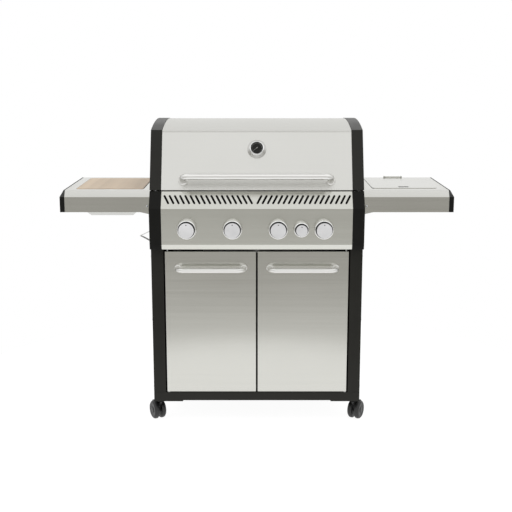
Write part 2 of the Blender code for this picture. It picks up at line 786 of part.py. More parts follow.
def build_control_panel():
    outline = folded(panel_path(), SHEET)
    half = PANEL_HALF - FIT
    panel = prism("control_panel", outline, (-half, half), across, STEEL)
    cut(panel, slot_cutter())
    for number, x, radius in knob_row():
        bore = radius + BEZEL_GAP
        back = -FACE_BOTTOM_PROUD + SHEET / 2
        height = FACE_TOP_PROUD + BEZEL_PROUD + back
        profile = [
            (bore, 0),
            (bore, height),
            (bore + BEZEL_RIM, height),
            (bore + BEZEL_FOOT, FACE_TOP_PROUD + back + 0.001),
            (bore + BEZEL_FOOT, 0),
            (bore, 0),
        ]
        bezel = turned(f"bezel_{number}", profile, place(x, back, KNOB_Z), (0, -1, 0), sides=20)
        weld_rings(bezel)
        join(panel, bezel)
        start, end = place(x, KNOB_BACK, KNOB_Z), place(x, SHEET - FACE_BOTTOM_PROUD + KNOB_GAP, KNOB_Z)
        hole = rod(f"stem_hole_{number}", start, end, STEM_HOLE)
        cut(panel, hole)
    for name, side in SIDES:
        x = side * door_pin_x()
        low, high = place(
            x, DOOR_PIN_INSET, LIP_BOTTOM - 0.002
        ), place(x, DOOR_PIN_INSET, LIP_BOTTOM + 0.006)
        cut(panel, rod(f"upper_pin_hole_{name}", low, high, DOOR_PIN_RADIUS + PIN_PLAY))
    catch_front = DOOR_THICKNESS + 0.0015
    catch = (
        (-CATCH_HALF_WIDTH, CATCH_HALF_WIDTH),
        (catch_front, catch_front + CATCH_DEPTH - 0.001),
        (DOOR_TOP - CATCH_HEIGHT + DOOR_TOP_GAP, LIP_BOTTOM + SHEET / 2),
    )
    join(panel, boxes("panel_catch", [catch]))


def weld_rings(obj):
    """Merges the first and last rings of a turned ring, which lie on each other."""
    bm = bmesh.new()
    bm.from_mesh(obj.data)
    bmesh.ops.remove_doubles(bm, verts=bm.verts, dist=1e-6)
    bmesh.ops.recalc_face_normals(bm, faces=bm.faces)
    bm.to_mesh(obj.data)
    bm.free()


def build_panel_caps():
    front = panel_path()[1:6]
    outline = [(depth, z) for depth, z in front]
    outline[0] = (-FIT, outline[0][1])
    outline[-1] = (-FIT, outline[-1][1])
    for name, side in SIDES:
        prism(f"panel_cap_{name}", outline, span(side, PANEL_HALF, HALF), across, BLACK_METAL)


def build_manifold():
    z = KNOB_Z - 0.007
    axis_depth = -0.004
    left, right = KNOB_XS[0] - 0.020, HALF - COLUMN_WIDTH - 0.012
    ends = place(left, axis_depth, z), place(right, axis_depth, z)
    manifold = rod("gas_manifold", *ends, MANIFOLD_RADIUS, BRASS, 16)
    valves = []
    valve_heights = (KNOB_Z - VALVE_HALF, KNOB_Z + VALVE_HALF)
    for number, x, _ in knob_row():
        valves.append(((x - VALVE_HALF, x + VALVE_HALF), (VALVE_FRONT, VALVE_BACK), valve_heights))
    join(manifold, boxes("valve_bodies", valves))
    for number, x, _ in knob_row():
        spud_end = FIREBOX_FRONT - NECK_LENGTH + 0.008
        if x != SMALL_KNOB_X:
            spud = rod(
                f"spud_{number}", place(x, 0, KNOB_Z), place(x, spud_end, KNOB_Z), SPUD_RADIUS, sides=12
            )
            join(manifold, spud)
    inlet_z = z - 0.046
    inlet = [
        place(right - 0.012, axis_depth, z),
        place(right - 0.012, axis_depth, inlet_z + 0.010),
        place(right - 0.012, axis_depth, inlet_z),
    ]
    join(manifold, tube("inlet_pipe", inlet, MANIFOLD_RADIUS - 0.001, sides=12))
    nut_foot, nut_top = inlet[-1] - Vector((0, 0, 0.016)), inlet[-1] + Vector((0, 0, 0.001))
    join(manifold, rod("inlet_nut", nut_foot, nut_top, 0.012, sides=6))
    burner_x, burner_depth = HALF + BURNER_LID_CENTRE[0], BURNER_LID_CENTRE[1]
    corners = [
        place(SMALL_KNOB_X, 0, KNOB_Z),
        place(SMALL_KNOB_X, SUPPLY_DEPTH, KNOB_Z),
        place(SMALL_KNOB_X, SUPPLY_DEPTH, SUPPLY_HEIGHT),
        place(FIREBOX_HALF + SUPPLY_GAP, SUPPLY_DEPTH, SUPPLY_HEIGHT),
        place(FIREBOX_HALF + SUPPLY_GAP, burner_depth, SUPPLY_HEIGHT),
        place(burner_x, burner_depth, SUPPLY_HEIGHT),
        place(burner_x, burner_depth, side_burner_foot() - FIT),
    ]
    path = rounded_path(corners, SUPPLY_BEND, steps=3)
    join(manifold, tube("supply_pipe", path, SUPPLY_RADIUS, sides=10))
    for number, x, _ in knob_row():
        ends = place(x, VALVE_FRONT - 0.002, KNOB_Z), place(x, 0.0, KNOB_Z)
        cut(manifold, rod(f"valve_bore_{number}", *ends, 0.0045, sides=12))


def knob_profile(radius):
    """(radius, height) of a knob, from its bore's end round to its face. Height grows to the front."""
    bore, depth = STEM_RADIUS + FIT, KNOB_DEPTH
    return [
        (0, KNOB_BORE_DEPTH),
        (bore, KNOB_BORE_DEPTH),
        (bore, 0),
        (radius, 0),
        (radius, depth - 0.003),
        (radius - 0.002, depth),
        (0, depth),
    ]


def build_knobs():
    for number, x, radius in knob_row():
        stem_front = KNOB_BACK - KNOB_BORE_DEPTH + FIT
        stem = rod(
            f"valve_stem_{number}",
            place(x, stem_front, KNOB_Z),
            place(x, -0.008, KNOB_Z),
            STEM_RADIUS,
            BRASS,
            sides=12,
        )
        knob = turned(
            f"knob_{number}",
            knob_profile(radius),
            place(x, KNOB_BACK, KNOB_Z),
            (0, -1, 0),
            SILVER,
            sides=20,
        )
        push = pivot(f"push_axis_{number}", place(x, KNOB_BACK, KNOB_Z), [stem])
        turn = pivot(f"turn_axis_{number}", place(x, KNOB_BACK, KNOB_Z), [knob])
        turn.parent = push
        turn.matrix_parent_inverse = Matrix.Translation(place(x, KNOB_BACK, KNOB_Z)).inverted()


# Firebox


def build_firebox():
    half, front, back = FIREBOX_HALF, FIREBOX_FRONT, FIREBOX_BACK
    firebox = boxes(
        "firebox", [((-half, half), (front, back), (FIREBOX_BOTTOM, FIREBOX_TOP - 0.001))], CAST_IRON
    )
    flange_half = HALF - SHELL - FIREBOX_FLANGE_GAP
    flange = (
        (-flange_half, flange_half),
        (front - FIREBOX_FLANGE_LAP, back + CAST),
        (FIREBOX_TOP - CAST, FIREBOX_TOP),
    )
    join(firebox, boxes("firebox_flange", [flange]))
    inner = half - CAST
    hollow = ((-inner, inner), (front + CAST, back - CAST), (FIREBOX_BOTTOM + CAST, FIREBOX_TOP + CAST))
    cut(firebox, boxes("firebox_hollow", [hollow]))
    ledges = []
    for top in (GRATE_LEDGE, TAMER_LEDGE):
        for d0, d1 in (
            (front + CAST / 2, front + CAST + LEDGE_DEPTH), (back - CAST - LEDGE_DEPTH, back - CAST / 2)
        ):
            ledges.append(((-inner - CAST / 2, inner + CAST / 2), (d0, d1), (top - 0.006, top)))
    join(firebox, boxes("firebox_ledges", ledges))
    rail = [
        (GREASE_HALF_WIDTH - 0.012, FIREBOX_BOTTOM - GREASE_RAIL_DROP),
        (GREASE_HALF_WIDTH + 0.0055, FIREBOX_BOTTOM - GREASE_RAIL_DROP),
        (GREASE_HALF_WIDTH + 0.0055, FIREBOX_BOTTOM + CAST / 2),
        (GREASE_HALF_WIDTH + 0.0035, FIREBOX_BOTTOM + CAST / 2),
        (GREASE_HALF_WIDTH + 0.0035, FIREBOX_BOTTOM - GREASE_RAIL_DROP + SHEET),
        (GREASE_HALF_WIDTH - 0.012, FIREBOX_BOTTOM - GREASE_RAIL_DROP + SHEET),
    ]
    for name, side in SIDES:
        depths = (GREASE_FRONT, FIREBOX_BACK)
        join(firebox, prism(f"grease_rail_{name}", mirrored(rail, side), depths, backward))
        x = HALF - SHELL - 0.0145
        foot_depth, ear_bottom = LID_AXIS[0] - LID_EAR_REACH, LID_AXIS[1] - LID_EAR_RADIUS
        ear = [
            (foot_depth - LID_EAR_FOOT, FIREBOX_TOP - CAST / 2),
            (foot_depth, FIREBOX_TOP - CAST / 2),
            (foot_depth, ear_bottom),
            (LID_AXIS[0] + LID_EAR_RADIUS, ear_bottom),
            (LID_AXIS[0] + LID_EAR_RADIUS, LID_AXIS[1] + LID_EAR_RADIUS),
            (foot_depth - LID_EAR_FOOT, LID_AXIS[1] + LID_EAR_RADIUS),
        ]
        ear_span = span(side, x - LID_EAR_WIDTH / 2, x + LID_EAR_WIDTH / 2)
        join(firebox, prism(f"hinge_ear_{name}", ear, ear_span, across))
        start, end = (place(side * (x + s), *LID_AXIS) for s in (-LID_EAR_WIDTH, LID_EAR_WIDTH))
        cut(firebox, rod(f"hinge_ear_hole_{name}", start, end, LID_PIN_RADIUS + PIN_PLAY))
    middle = (front + back) / 2
    opening = (
        (-GREASE_OPENING_HALF, GREASE_OPENING_HALF),
        (middle - 0.08, middle + 0.08),
        (FIREBOX_BOTTOM - CAST, FIREBOX_BOTTOM + 2 * CAST),
    )
    cut(firebox, boxes("grease_opening", [opening]))
    for number, x in enumerate(KNOB_XS, start=1):
        start, end = place(x, front - CAST, KNOB_Z), place(x, front + 2 * CAST, KNOB_Z)
        cut(firebox, rod(f"neck_hole_{number}", start, end, NECK_RADIUS + 0.0015))


def build_burners():
    front, back = FIREBOX_FRONT - NECK_LENGTH, FIREBOX_BACK - CAST - 0.006
    length = back - front
    profile = [
        (0, 0.014),
        (NECK_BORE, 0.014),
        (NECK_BORE, 0),
        (NECK_RADIUS, 0),
        (NECK_RADIUS, NECK_LENGTH + 0.008),
        (BURNER_RADIUS, NECK_LENGTH + 0.022),
        (BURNER_RADIUS, length - 0.004),
        (0, length),
    ]
    rise, edge_z = TAMER_RISE, FIREBOX_TOP - TAMER_DROP
    tamer = [(-TAMER_HALF_WIDTH, edge_z), (0, edge_z + rise), (TAMER_HALF_WIDTH, edge_z)]
    depths = (FIREBOX_FRONT + CAST + 0.0015, FIREBOX_BACK - CAST - 0.0015)
    for number, x in enumerate(KNOB_XS, start=1):
        turned(f"burner_{number}", profile, place(x, front, KNOB_Z), (0, 1, 0), STEEL, sides=16)
        outline = folded([(x + a, z) for a, z in tamer], SHEET * 0.75)
        prism(f"flame_tamer_{number}", outline, depths, backward, CAST_IRON)


def slots_between(low, high, bar, pitch):
    """(low, high) of each slot in a row of bars of this width and pitch, as many as fit."""
    count = int((high - low - bar) / pitch)
    start = (low + high - count * pitch - bar) / 2
    return [(start + i * pitch + bar, start + (i + 1) * pitch) for i in range(count)]


def build_grates():
    inner = FIREBOX_HALF - CAST - 0.002
    front, back = FIREBOX_FRONT + CAST + 0.002, FIREBOX_BACK - CAST - 0.002
    middle = (front + back) / 2
    for name, side in SIDES:
        spans = [(span(side, 0.001, inner), (front, back), (GRATE_TOP - GRATE_THICKNESS, GRATE_TOP))]
        grate = boxes(f"grate_{name}", spans, CAST_IRON)
        slots = []
        for x0, x1 in slots_between(0.001, inner, GRATE_BAR, GRATE_PITCH):
            for d0, d1 in ((front + 0.018, middle - 0.006), (middle + 0.006, back - 0.018)):
                slots.append((span(side, x0, x1), (d0, d1), (GRATE_TOP - 0.020, GRATE_TOP + 0.010)))
        cut(grate, boxes(f"grate_slots_{name}", slots))


def build_warming_rack():
    half = FIREBOX_HALF + 0.010
    back = FIREBOX_BACK - RACK_BACK_GAP + 0.025
    front = back - RACK_DEPTH
    top = FIREBOX_TOP + RACK_HEIGHT + 0.005
    rack = boxes("warming_rack", [((-half, half), (front, back), (top - 0.005, top))], CHROME)
    slots = []
    for d0, d1 in slots_between(front, back, 0.005, 0.020):
        for x0, x1 in ((-half + 0.008, -0.004), (0.004, half - 0.008)):
            slots.append(((x0, x1), (d0, d1), (top - 0.010, top + 0.005)))
    cut(rack, boxes("rack_slots", slots))
    legs = []
    for _, side in SIDES:
        legs.append(
            (span(side, half - 0.004, half), (front + 0.030, back - 0.030), (FIREBOX_TOP + FIT, top - 0.001))
        )
    join(rack, boxes("rack_legs", legs))


def build_grease_tray():
    half, bottom = GREASE_HALF_WIDTH, FIREBOX_BOTTOM - GREASE_RAIL_DROP + SHEET + FIT
    top, back = bottom + GREASE_HEIGHT, CABINET_DEPTH - 0.010
    tray = boxes("grease_tray", [((-half, half), (GREASE_FRONT, back), (bottom, top))], STEEL)
    hollow = (
        (-half + SHEET, half - SHEET),
        (GREASE_FRONT + SHEET, back - SHEET),
        (bottom + SHEET, top + SHEET),
    )
    cut(tray, boxes("grease_tray_hollow", [hollow]))
    grip = ((-0.060, 0.060), (back - SHEET / 2, back + 0.016), (top - 0.004, top - 0.0015))
    join(tray, boxes("grease_tray_grip", [grip]))
    pivot("grease_tray_axis", place(0, back, bottom), [tray])


# Hood


def hood_path():
    """(depth, z) of the hood's outer surface, from its front foot over the roof to its back foot."""
    foot = CABINET_DEPTH - HOOD_FOOT_FROM_BACK
    apex = CABINET_DEPTH - HOOD_APEX_FROM_BACK
    drop = HOOD_ROOF_RADIUS - math.sqrt(HOOD_ROOF_RADIUS**2 - (apex - HOOD_FACE_LEAN) ** 2)

    def roof(depth):
        return HOOD_CREASE + drop - HOOD_ROOF_RADIUS + math.sqrt(HOOD_ROOF_RADIUS**2 - (depth - apex) ** 2)

    corner_depth = foot + HOOD_BACK_BULGE
    corner = Vector((corner_depth, roof(corner_depth)))
    last = corner_depth - HOOD_SHOULDER
    path = [(0, HOOD_FOOT)]
    for i in range(6):
        depth = HOOD_FACE_LEAN + (last - HOOD_FACE_LEAN) * i / 5
        path.append((depth, roof(depth)))
    first = Vector(path[-1])
    end = Vector((corner_depth, corner.y - HOOD_SHOULDER))
    for i in range(1, 6):
        t = i / 5
        point = (1 - t) ** 2 * first + 2 * t * (1 - t) * corner + t**2 * end
        path.append((point.x, point.y))
    path.append((foot, HOOD_FOOT))
    return path


def hood_face_point(rise, standoff=0.0):
    """(depth, z) on the hood's leaning face, this high above its foot, and this far off it."""
    point = Vector((HOOD_FACE_LEAN * rise / HOOD_FACE_HEIGHT, HOOD_FOOT + rise)) + FACE_NORMAL * standoff
    return point.x, point.y


def build_lid():
    path = hood_path()
    shell = prism("lid_shell", folded(path, -SHEET), (-HOOD_HALF, HOOD_HALF), across, STEEL)
    pieces = [shell]
    face_axis = (0, FACE_NORMAL.x, FACE_NORMAL.y)
    start, end = (place(0, *hood_face_point(THERMOMETER_RISE, s)) for s in (-0.010, 0.010))
    cut(shell, rod("probe_hole", start, end, PROBE_RADIUS + 0.002))
    outer = offset_path(path, HOOD_CAP_PROUD)
    outer[0], outer[-1] = (outer[0][0], HOOD_FOOT), (outer[-1][0], HOOD_FOOT)
    inner = offset_path(path, HOOD_CAP_PROUD - SHELL)
    inner[0], inner[-1] = (inner[0][0] - 0.004, HOOD_FOOT - 0.010), (
        inner[-1][0] - 0.001, HOOD_FOOT - 0.010
    )
    for name, side in SIDES:
        cap = prism(f"lid_cap_{name}", outer, span(side, HALF - HOOD_CAP_WIDTH, HALF), across, BLACK_METAL)
        hollow_span = span(side, HALF - HOOD_CAP_WIDTH - 0.010, HALF - SHELL)
        cut(cap, prism(f"lid_cap_hollow_{name}", inner, hollow_span, across))
        pin_start, pin_end = (place(side * x, *LID_AXIS) for x in (HALF - SHELL - 0.022, HALF - SHELL / 2))
        join(cap, rod(f"lid_pin_{name}", pin_start, pin_end, LID_PIN_RADIUS))
        pieces.append(cap)
    corners = []
    for x, standoff in ((-1, FIT), (-1, LID_HANDLE_STANDOFF), (1, LID_HANDLE_STANDOFF), (1, FIT)):
        corners.append(place(x * LID_HANDLE_HALF, *hood_face_point(LID_HANDLE_RISE, standoff)))
    pieces.append(
        tube("lid_handle", rounded_path(corners, LID_HANDLE_BEND), LID_HANDLE_RADIUS, STEEL, sides=14)
    )
    height = THERMOMETER_HEIGHT
    profile = [
        (0, -PROBE_LENGTH),
        (PROBE_RADIUS, -PROBE_LENGTH),
        (PROBE_RADIUS, FIT),
        (THERMOMETER_RADIUS, FIT),
        (THERMOMETER_RADIUS, 0.003),
        (THERMOMETER_RING, height - 0.002),
        (THERMOMETER_RING - 0.001, height),
        (THERMOMETER_DIAL + 0.001, height),
        (THERMOMETER_DIAL, height - 0.003),
        (0, height - 0.003),
    ]
    origin = place(0, *hood_face_point(THERMOMETER_RISE))
    pieces.append(turned("thermometer", profile, origin, face_axis, CHROME, sides=28))
    pivot("lid_axis", place(0, *LID_AXIS), pieces)


# Side shelves


def shelf_profile():
    """(depth, z) of a shelf's outer surface, from its rear lower flange over to its front one."""
    bottom = SHELF_TOP - SHELF_APRON
    return [
        (SHELF_LENGTH - SHELF_FLANGE, bottom),
        (SHELF_LENGTH, bottom),
        (SHELF_LENGTH, SHELF_TOP),
        (SHELF_NOSE, SHELF_TOP),
        (0, SHELF_TOP - SHELF_NOSE_DROP),
        (0, bottom),
        (SHELF_FLANGE, bottom),
    ]


def cap_plan(outer, gap):
    """The (x, depth) outline of an end cap's corner, which narrows backwards along the nose."""
    wide, narrow = SHELF_OUTER - SHELF_CAP_FRONT - gap, SHELF_OUTER - SHELF_CAP_TOP - gap
    front = -10 * gap
    lead = (narrow - wide) * front / SHELF_NOSE
    return [(wide + lead, front), (outer, front), (outer, SHELF_NOSE), (narrow, SHELF_NOSE)]


def build_shelf(name, side, opening_centre, opening_half):
    """A folded shelf with an opening, and its black end cap."""
    sheet_end = SHELF_OUTER - SHELF_CAP_TOP - FIT
    bottom = SHELF_TOP - SHELF_APRON
    shelf = prism(
        f"shelf_{name}",
        folded(shelf_profile(), SHEET),
        span(side, SHELF_INNER, sheet_end),
        across,
        STEEL,
    )
    opening = rounded_rectangle(opening_centre, opening_half, BURNER_LID_CORNER, 3)
    cut(shelf, prism(f"shelf_opening_{name}", opening, (SHELF_TOP - 0.010, SHELF_TOP + 0.010), upward))
    corner = cap_plan(SHELF_OUTER + 0.005, FIT)
    heights = (bottom - 0.005, SHELF_TOP + 0.005)
    cut(shelf, prism(f"shelf_corner_{name}", mirrored(corner, side), heights, upward))
    wedge = [
        (SHELF_INNER, bottom + SHEET / 2),
        (SHELF_INNER, bottom - SHELF_WEDGE_DROP),
        (SHELF_INNER + SHELF_WEDGE, bottom),
        (SHELF_INNER + SHELF_WEDGE, bottom + SHEET / 2),
    ]
    join(shelf, prism(f"shelf_wedge_{name}", mirrored(wedge, side), (0.0005, 0.0025), backward))
    outline = [p for p in shelf_profile()[1:6]]
    cap = prism(
        f"shelf_cap_{name}",
        outline,
        span(side, SHELF_OUTER - SHELF_CAP_TOP, SHELF_OUTER),
        across,
        BLACK_METAL,
    )
    plan = mirrored(cap_plan(SHELF_OUTER - 0.001, 0), side)
    block = prism(f"shelf_cap_block_{name}", plan, (bottom, SHELF_TOP - 0.0001), upward)
    nose_top = [(-0.010, SHELF_TOP - SHELF_NOSE_DROP), (0, SHELF_TOP - SHELF_NOSE_DROP)]
    nose_top += [(SHELF_NOSE, SHELF_TOP), (SHELF_NOSE, SHELF_TOP + 0.010), (-0.010, SHELF_TOP + 0.010)]
    cut(block, prism(f"shelf_nose_{name}", nose_top, span(side, HALF, SHELF_OUTER + 0.010), across))
    join(cap, block)
    return shelf


def build_left_shelf():
    centre = (-(HALF + BOARD_CENTRE[0]), BOARD_CENTRE[1])
    half = (BOARD_SIZE[0] / 2, BOARD_SIZE[1] / 2)
    hole = tuple(h + BOARD_PLAY for h in half)
    build_shelf("left", -1, centre, hole)
    top = SHELF_TOP + BOARD_PROUD
    seat = top - BOARD_THICKNESS - FIT
    under = SHELF_TOP - SHEET - FIT
    levels = [
        (hole[0] + 0.014, hole[1] + 0.014, under),
        (hole[0] + 0.001, hole[1] + 0.001, under),
        (hole[0] + 0.001, hole[1] + 0.001, seat),
        (half[0] - TRAY_SEAT, half[1] - TRAY_SEAT, seat),
        (TRAY_FLOOR_HALF[0], TRAY_FLOOR_HALF[1], seat - TRAY_DEPTH + 0.012),
        (TRAY_FLOOR_HALF[0] - 0.012, TRAY_FLOOR_HALF[1] - 0.012, seat - TRAY_DEPTH),
    ]
    pan("board_tray", centre, levels, 0.0015, STEEL)
    outline = rounded_rectangle(centre, half, 0.008, 3)
    board = prism("cutting_board", outline, (top - BOARD_THICKNESS, top), upward, BAMBOO)
    notch = (
        (centre[0] - BOARD_NOTCH[0] / 2, centre[0] + BOARD_NOTCH[0] / 2),
        (centre[1] - half[1] - 0.005, centre[1] - half[1] + BOARD_NOTCH[1]),
        (top - 2 * BOARD_THICKNESS, top + 0.005),
    )
    cut(board, boxes("board_notch", [notch]))
    pivot("board_axis", place(centre[0], centre[1], top), [board])


def side_burner_foot():
    """z of the lower end of the side burner's neck."""
    return SHELF_TOP - SHEET - BURNER_PAN_DEPTH - 0.0105


def build_right_shelf():
    centre = (HALF + BURNER_LID_CENTRE[0], BURNER_LID_CENTRE[1])
    half = (BURNER_LID_SIZE[0] / 2, BURNER_LID_SIZE[1] / 2)
    hole = tuple(h + BURNER_LID_PLAY for h in half)
    shelf = build_shelf("right", 1, centre, hole)
    axis_depth, axis_z = centre[1] + half[1] + 0.0035, SHELF_TOP + BURNER_HINGE_RISE
    ears = []
    for side in (-1, 1):
        low, high = sorted((side * (BURNER_HINGE_HALF + 0.002), side * (BURNER_HINGE_HALF + 0.006)))
        ears.append(
            (
                (centre[0] + low, centre[0] + high),
                (axis_depth - 0.001, axis_depth + 0.010),
                (SHELF_TOP - 0.001, axis_z + 0.0038),
            )
        )
    join(shelf, boxes("burner_hinge_ears", ears))
    for number, side in enumerate((-1, 1), start=1):
        x0, x1 = centre[0] + side * (
            BURNER_HINGE_HALF - 0.001
        ), centre[0] + side * (BURNER_HINGE_HALF + 0.010)
        start, end = place(x0, axis_depth + 0.0015, axis_z), place(x1, axis_depth + 0.0015, axis_z)
        cut(shelf, rod(f"burner_hinge_hole_{number}", start, end, BURNER_PIN_RADIUS + PIN_PLAY, sides=12))
    build_burner_lid(centre, half, (axis_depth + 0.0015, axis_z))
    build_side_burner(centre, hole)


def build_burner_lid(centre, half, axis):
    top = SHELF_TOP + BOARD_PROUD
    outline = rounded_rectangle(centre, half, BURNER_LID_CORNER - BURNER_LID_PLAY, 3)
    lid = prism("side_burner_lid", outline, (top - BURNER_LID_HEIGHT, top), upward, STEEL)
    inside = rounded_rectangle(
        centre, (half[0] - SHEET, half[1] - SHEET), BURNER_LID_CORNER - BURNER_LID_PLAY - SHEET, 3
    )
    cut(lid, prism("burner_lid_hollow", inside, (top - 2 * BURNER_LID_HEIGHT, top - SHEET), upward))
    slot = (
        (centre[0] - 0.020, centre[0] + 0.020),
        (centre[1] - half[1] + 0.030, centre[1] - half[1] + 0.038),
        (top - 2 * SHEET, top + SHEET),
    )
    cut(lid, boxes("burner_lid_slot", [slot]))
    tab = (
        (centre[0] - BURNER_HINGE_HALF, centre[0] + BURNER_HINGE_HALF),
        (axis[0] - 0.012, axis[0] - 0.0005),
        (top - 0.001, axis[1] - 0.0005),
    )
    join(lid, boxes("burner_lid_tab", [tab]))
    reach = BURNER_HINGE_HALF
    barrel = [
        (0, -reach - 0.008),
        (BURNER_PIN_RADIUS, -reach - 0.008),
        (BURNER_PIN_RADIUS, -reach),
        (BURNER_BARREL_RADIUS, -reach),
        (BURNER_BARREL_RADIUS, reach),
        (BURNER_PIN_RADIUS, reach),
        (BURNER_PIN_RADIUS, reach + 0.008),
        (0, reach + 0.008),
    ]
    join(lid, turned("burner_lid_barrel", barrel, place(centre[0], *axis), (1, 0, 0), sides=12))
    pivot("side_burner_lid_axis", place(centre[0], *axis), [lid])


def build_side_burner(centre, hole):
    under = SHELF_TOP - SHEET - FIT
    floor = under - BURNER_PAN_DEPTH
    levels = [
        (hole[0] + 0.010, hole[1] + 0.010, under),
        (hole[0] + PAN_SIDE_GAP, hole[1] + PAN_SIDE_GAP, under),
        (hole[0] + PAN_SIDE_GAP, hole[1] + PAN_SIDE_GAP, under - BURNER_LID_HEIGHT),
        (hole[0] - 0.010, hole[1] - 0.010, floor),
    ]
    burner_pan = pan("burner_pan", centre, levels, 0.0015, STEEL)
    foot = side_burner_foot()
    start, end = place(*centre, foot - 0.002), place(*centre, floor + 0.004)
    cut(burner_pan, rod("burner_pan_hole", start, end, NECK_RADIUS + 0.0015))
    profile = [
        (0, foot),
        (NECK_RADIUS, foot),
        (NECK_RADIUS, floor + 0.006),
        (BURNER_HEAD_RADIUS - 0.004, floor + 0.010),
        (BURNER_HEAD_RADIUS, floor + 0.014),
        (BURNER_HEAD_RADIUS, floor + 0.024),
        (BURNER_HEAD_RADIUS - 0.004, floor + 0.028),
        (0, floor + 0.029),
    ]
    turned("side_burner", profile, place(*centre, 0), (0, 0, 1), BRASS, sides=20)
    half, bar = SUPPORT_HALF, SUPPORT_BAR
    low, high = floor + 0.033, floor + 0.040
    x, depth = centre
    ring = [((x - half, x + half), (depth - half, depth + half), (low, high))]
    support = boxes("pan_support", ring, ENAMEL)
    holes = []
    for sx in (-1, 1):
        for sd in (-1, 1):
            xs = sorted((x + sx * bar / 2, x + sx * (half - bar)))
            ds = sorted((depth + sd * bar / 2, depth + sd * (half - bar)))
            holes.append((tuple(xs), tuple(ds), (low - 0.005, high + 0.005)))
    cut(support, boxes("pan_support_gaps", holes))
    legs = []
    for sx in (-1, 1):
        for sd in (-1, 1):
            xs = sorted((x + sx * (half - bar + 0.0005), x + sx * (half - 0.0005)))
            ds = sorted((depth + sd * (half - bar + 0.0005), depth + sd * (half - 0.0005)))
            legs.append((tuple(xs), tuple(ds), (floor + FIT, low + 0.002)))
    join(support, boxes("pan_support_legs", legs))


def build_bottle_opener():
    z = PANEL_TOP - OPENER_BELOW_TOP
    wall = -(HALF + FIT)
    path = [
        (wall, z + OPENER_ARM_RISE + OPENER_FOOT),
        (wall, z + OPENER_ARM_RISE),
        (wall - OPENER_REACH, z),
        (wall, z - OPENER_ARM_DROP),
        (wall, z - OPENER_ARM_DROP - OPENER_FOOT),
    ]
    prism("bottle_opener", folded(path, -SHEET), OPENER_DEPTHS, backward, STEEL)


def main():
    clear_scene()
    build_base_tray()
    build_side_panels()
    build_rear_panel()
    build_doors()
    build_casters()
    build_control_panel()
    build_panel_caps()
    build_manifold()
    build_knobs()
    build_firebox()
    build_burners()
    build_grates()
    build_warming_rack()
    build_grease_tray()
    build_lid()
    build_left_shelf()
    build_right_shelf()
    build_bottle_opener()


main()
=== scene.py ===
"""Finished look of the gas barbecue grill: its shaped pieces, their finishes, and the studio.

Units are metres, +Z is up and the grill faces -Y. A depth is measured backwards from the front
plane of the doors, as a maker would mark it on the cabinet's side.
"""

import json
import logging
import math
from collections.abc import Iterable, Iterator, Sequence
from contextlib import contextmanager
from dataclasses import dataclass
from enum import Enum

import bpy
from mathutils import Matrix, Vector

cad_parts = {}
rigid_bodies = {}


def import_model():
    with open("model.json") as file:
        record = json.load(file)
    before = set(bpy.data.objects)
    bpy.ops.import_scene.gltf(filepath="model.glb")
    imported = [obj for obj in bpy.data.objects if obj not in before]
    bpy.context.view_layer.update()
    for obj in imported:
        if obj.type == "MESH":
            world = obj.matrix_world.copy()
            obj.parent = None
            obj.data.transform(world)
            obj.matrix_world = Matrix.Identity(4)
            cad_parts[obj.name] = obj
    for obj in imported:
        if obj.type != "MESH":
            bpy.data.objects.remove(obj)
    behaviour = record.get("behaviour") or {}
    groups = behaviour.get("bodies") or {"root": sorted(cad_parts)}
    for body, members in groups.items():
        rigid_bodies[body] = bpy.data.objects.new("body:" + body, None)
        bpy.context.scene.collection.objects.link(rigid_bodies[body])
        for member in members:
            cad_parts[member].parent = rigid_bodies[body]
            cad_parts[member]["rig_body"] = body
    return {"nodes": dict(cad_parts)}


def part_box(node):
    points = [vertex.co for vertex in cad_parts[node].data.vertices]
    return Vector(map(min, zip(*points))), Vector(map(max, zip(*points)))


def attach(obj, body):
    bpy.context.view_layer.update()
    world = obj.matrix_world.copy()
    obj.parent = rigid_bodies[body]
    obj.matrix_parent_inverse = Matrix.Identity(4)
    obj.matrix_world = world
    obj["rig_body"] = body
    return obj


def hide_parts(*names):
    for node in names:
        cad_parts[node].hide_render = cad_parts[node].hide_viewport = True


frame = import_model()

log = logging.getLogger("grill")

Point = tuple[float, float]
Colour = Scale = tuple[float, float, float]
Piece = bpy.types.Object
Socket = bpy.types.NodeSocket

FRONT_Y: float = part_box("door_left")[0][1]
CABINET_HALF: float = 0.385
CABINET_DEPTH: float = 0.480
BURNER_XS: tuple[float, ...] = tuple(-0.0055 + (i - 1.5) * 0.163 for i in range(4))
MERGE_DISTANCE: float = 0.00001
SMOOTH_ANGLE: float = math.radians(32)

ACROSS = Vector((1, 0, 0))
BACKWARDS = Vector((0, 1, 0))
FORWARDS = Vector((0, -1, 0))
UP = Vector((0, 0, 1))
MIRROR = Matrix.Diagonal((-1, 1, 1, 1))


class Side(Enum):
    """The two sides of the grill, with the sign of X on each."""

    LEFT = -1
    RIGHT = 1

    @property
    def word(self) -> str:
        """The side's name as it stands in a piece's name."""
        return self.name.lower()


class Grain(Enum):
    """The way that a brushed finish runs: its lines per metre on each axis, and the axis it follows."""

    ALONG = ((1.0, 150.0, 150.0), "X")
    ROUND = ((60.0, 60.0, 60.0), "Y")


def at(x: float, depth: float, z: float) -> Vector:
    """The point x right of the middle, this depth behind the doors' front, and z above the ground."""
    return Vector((x, FRONT_Y + depth, z))


# Finishes


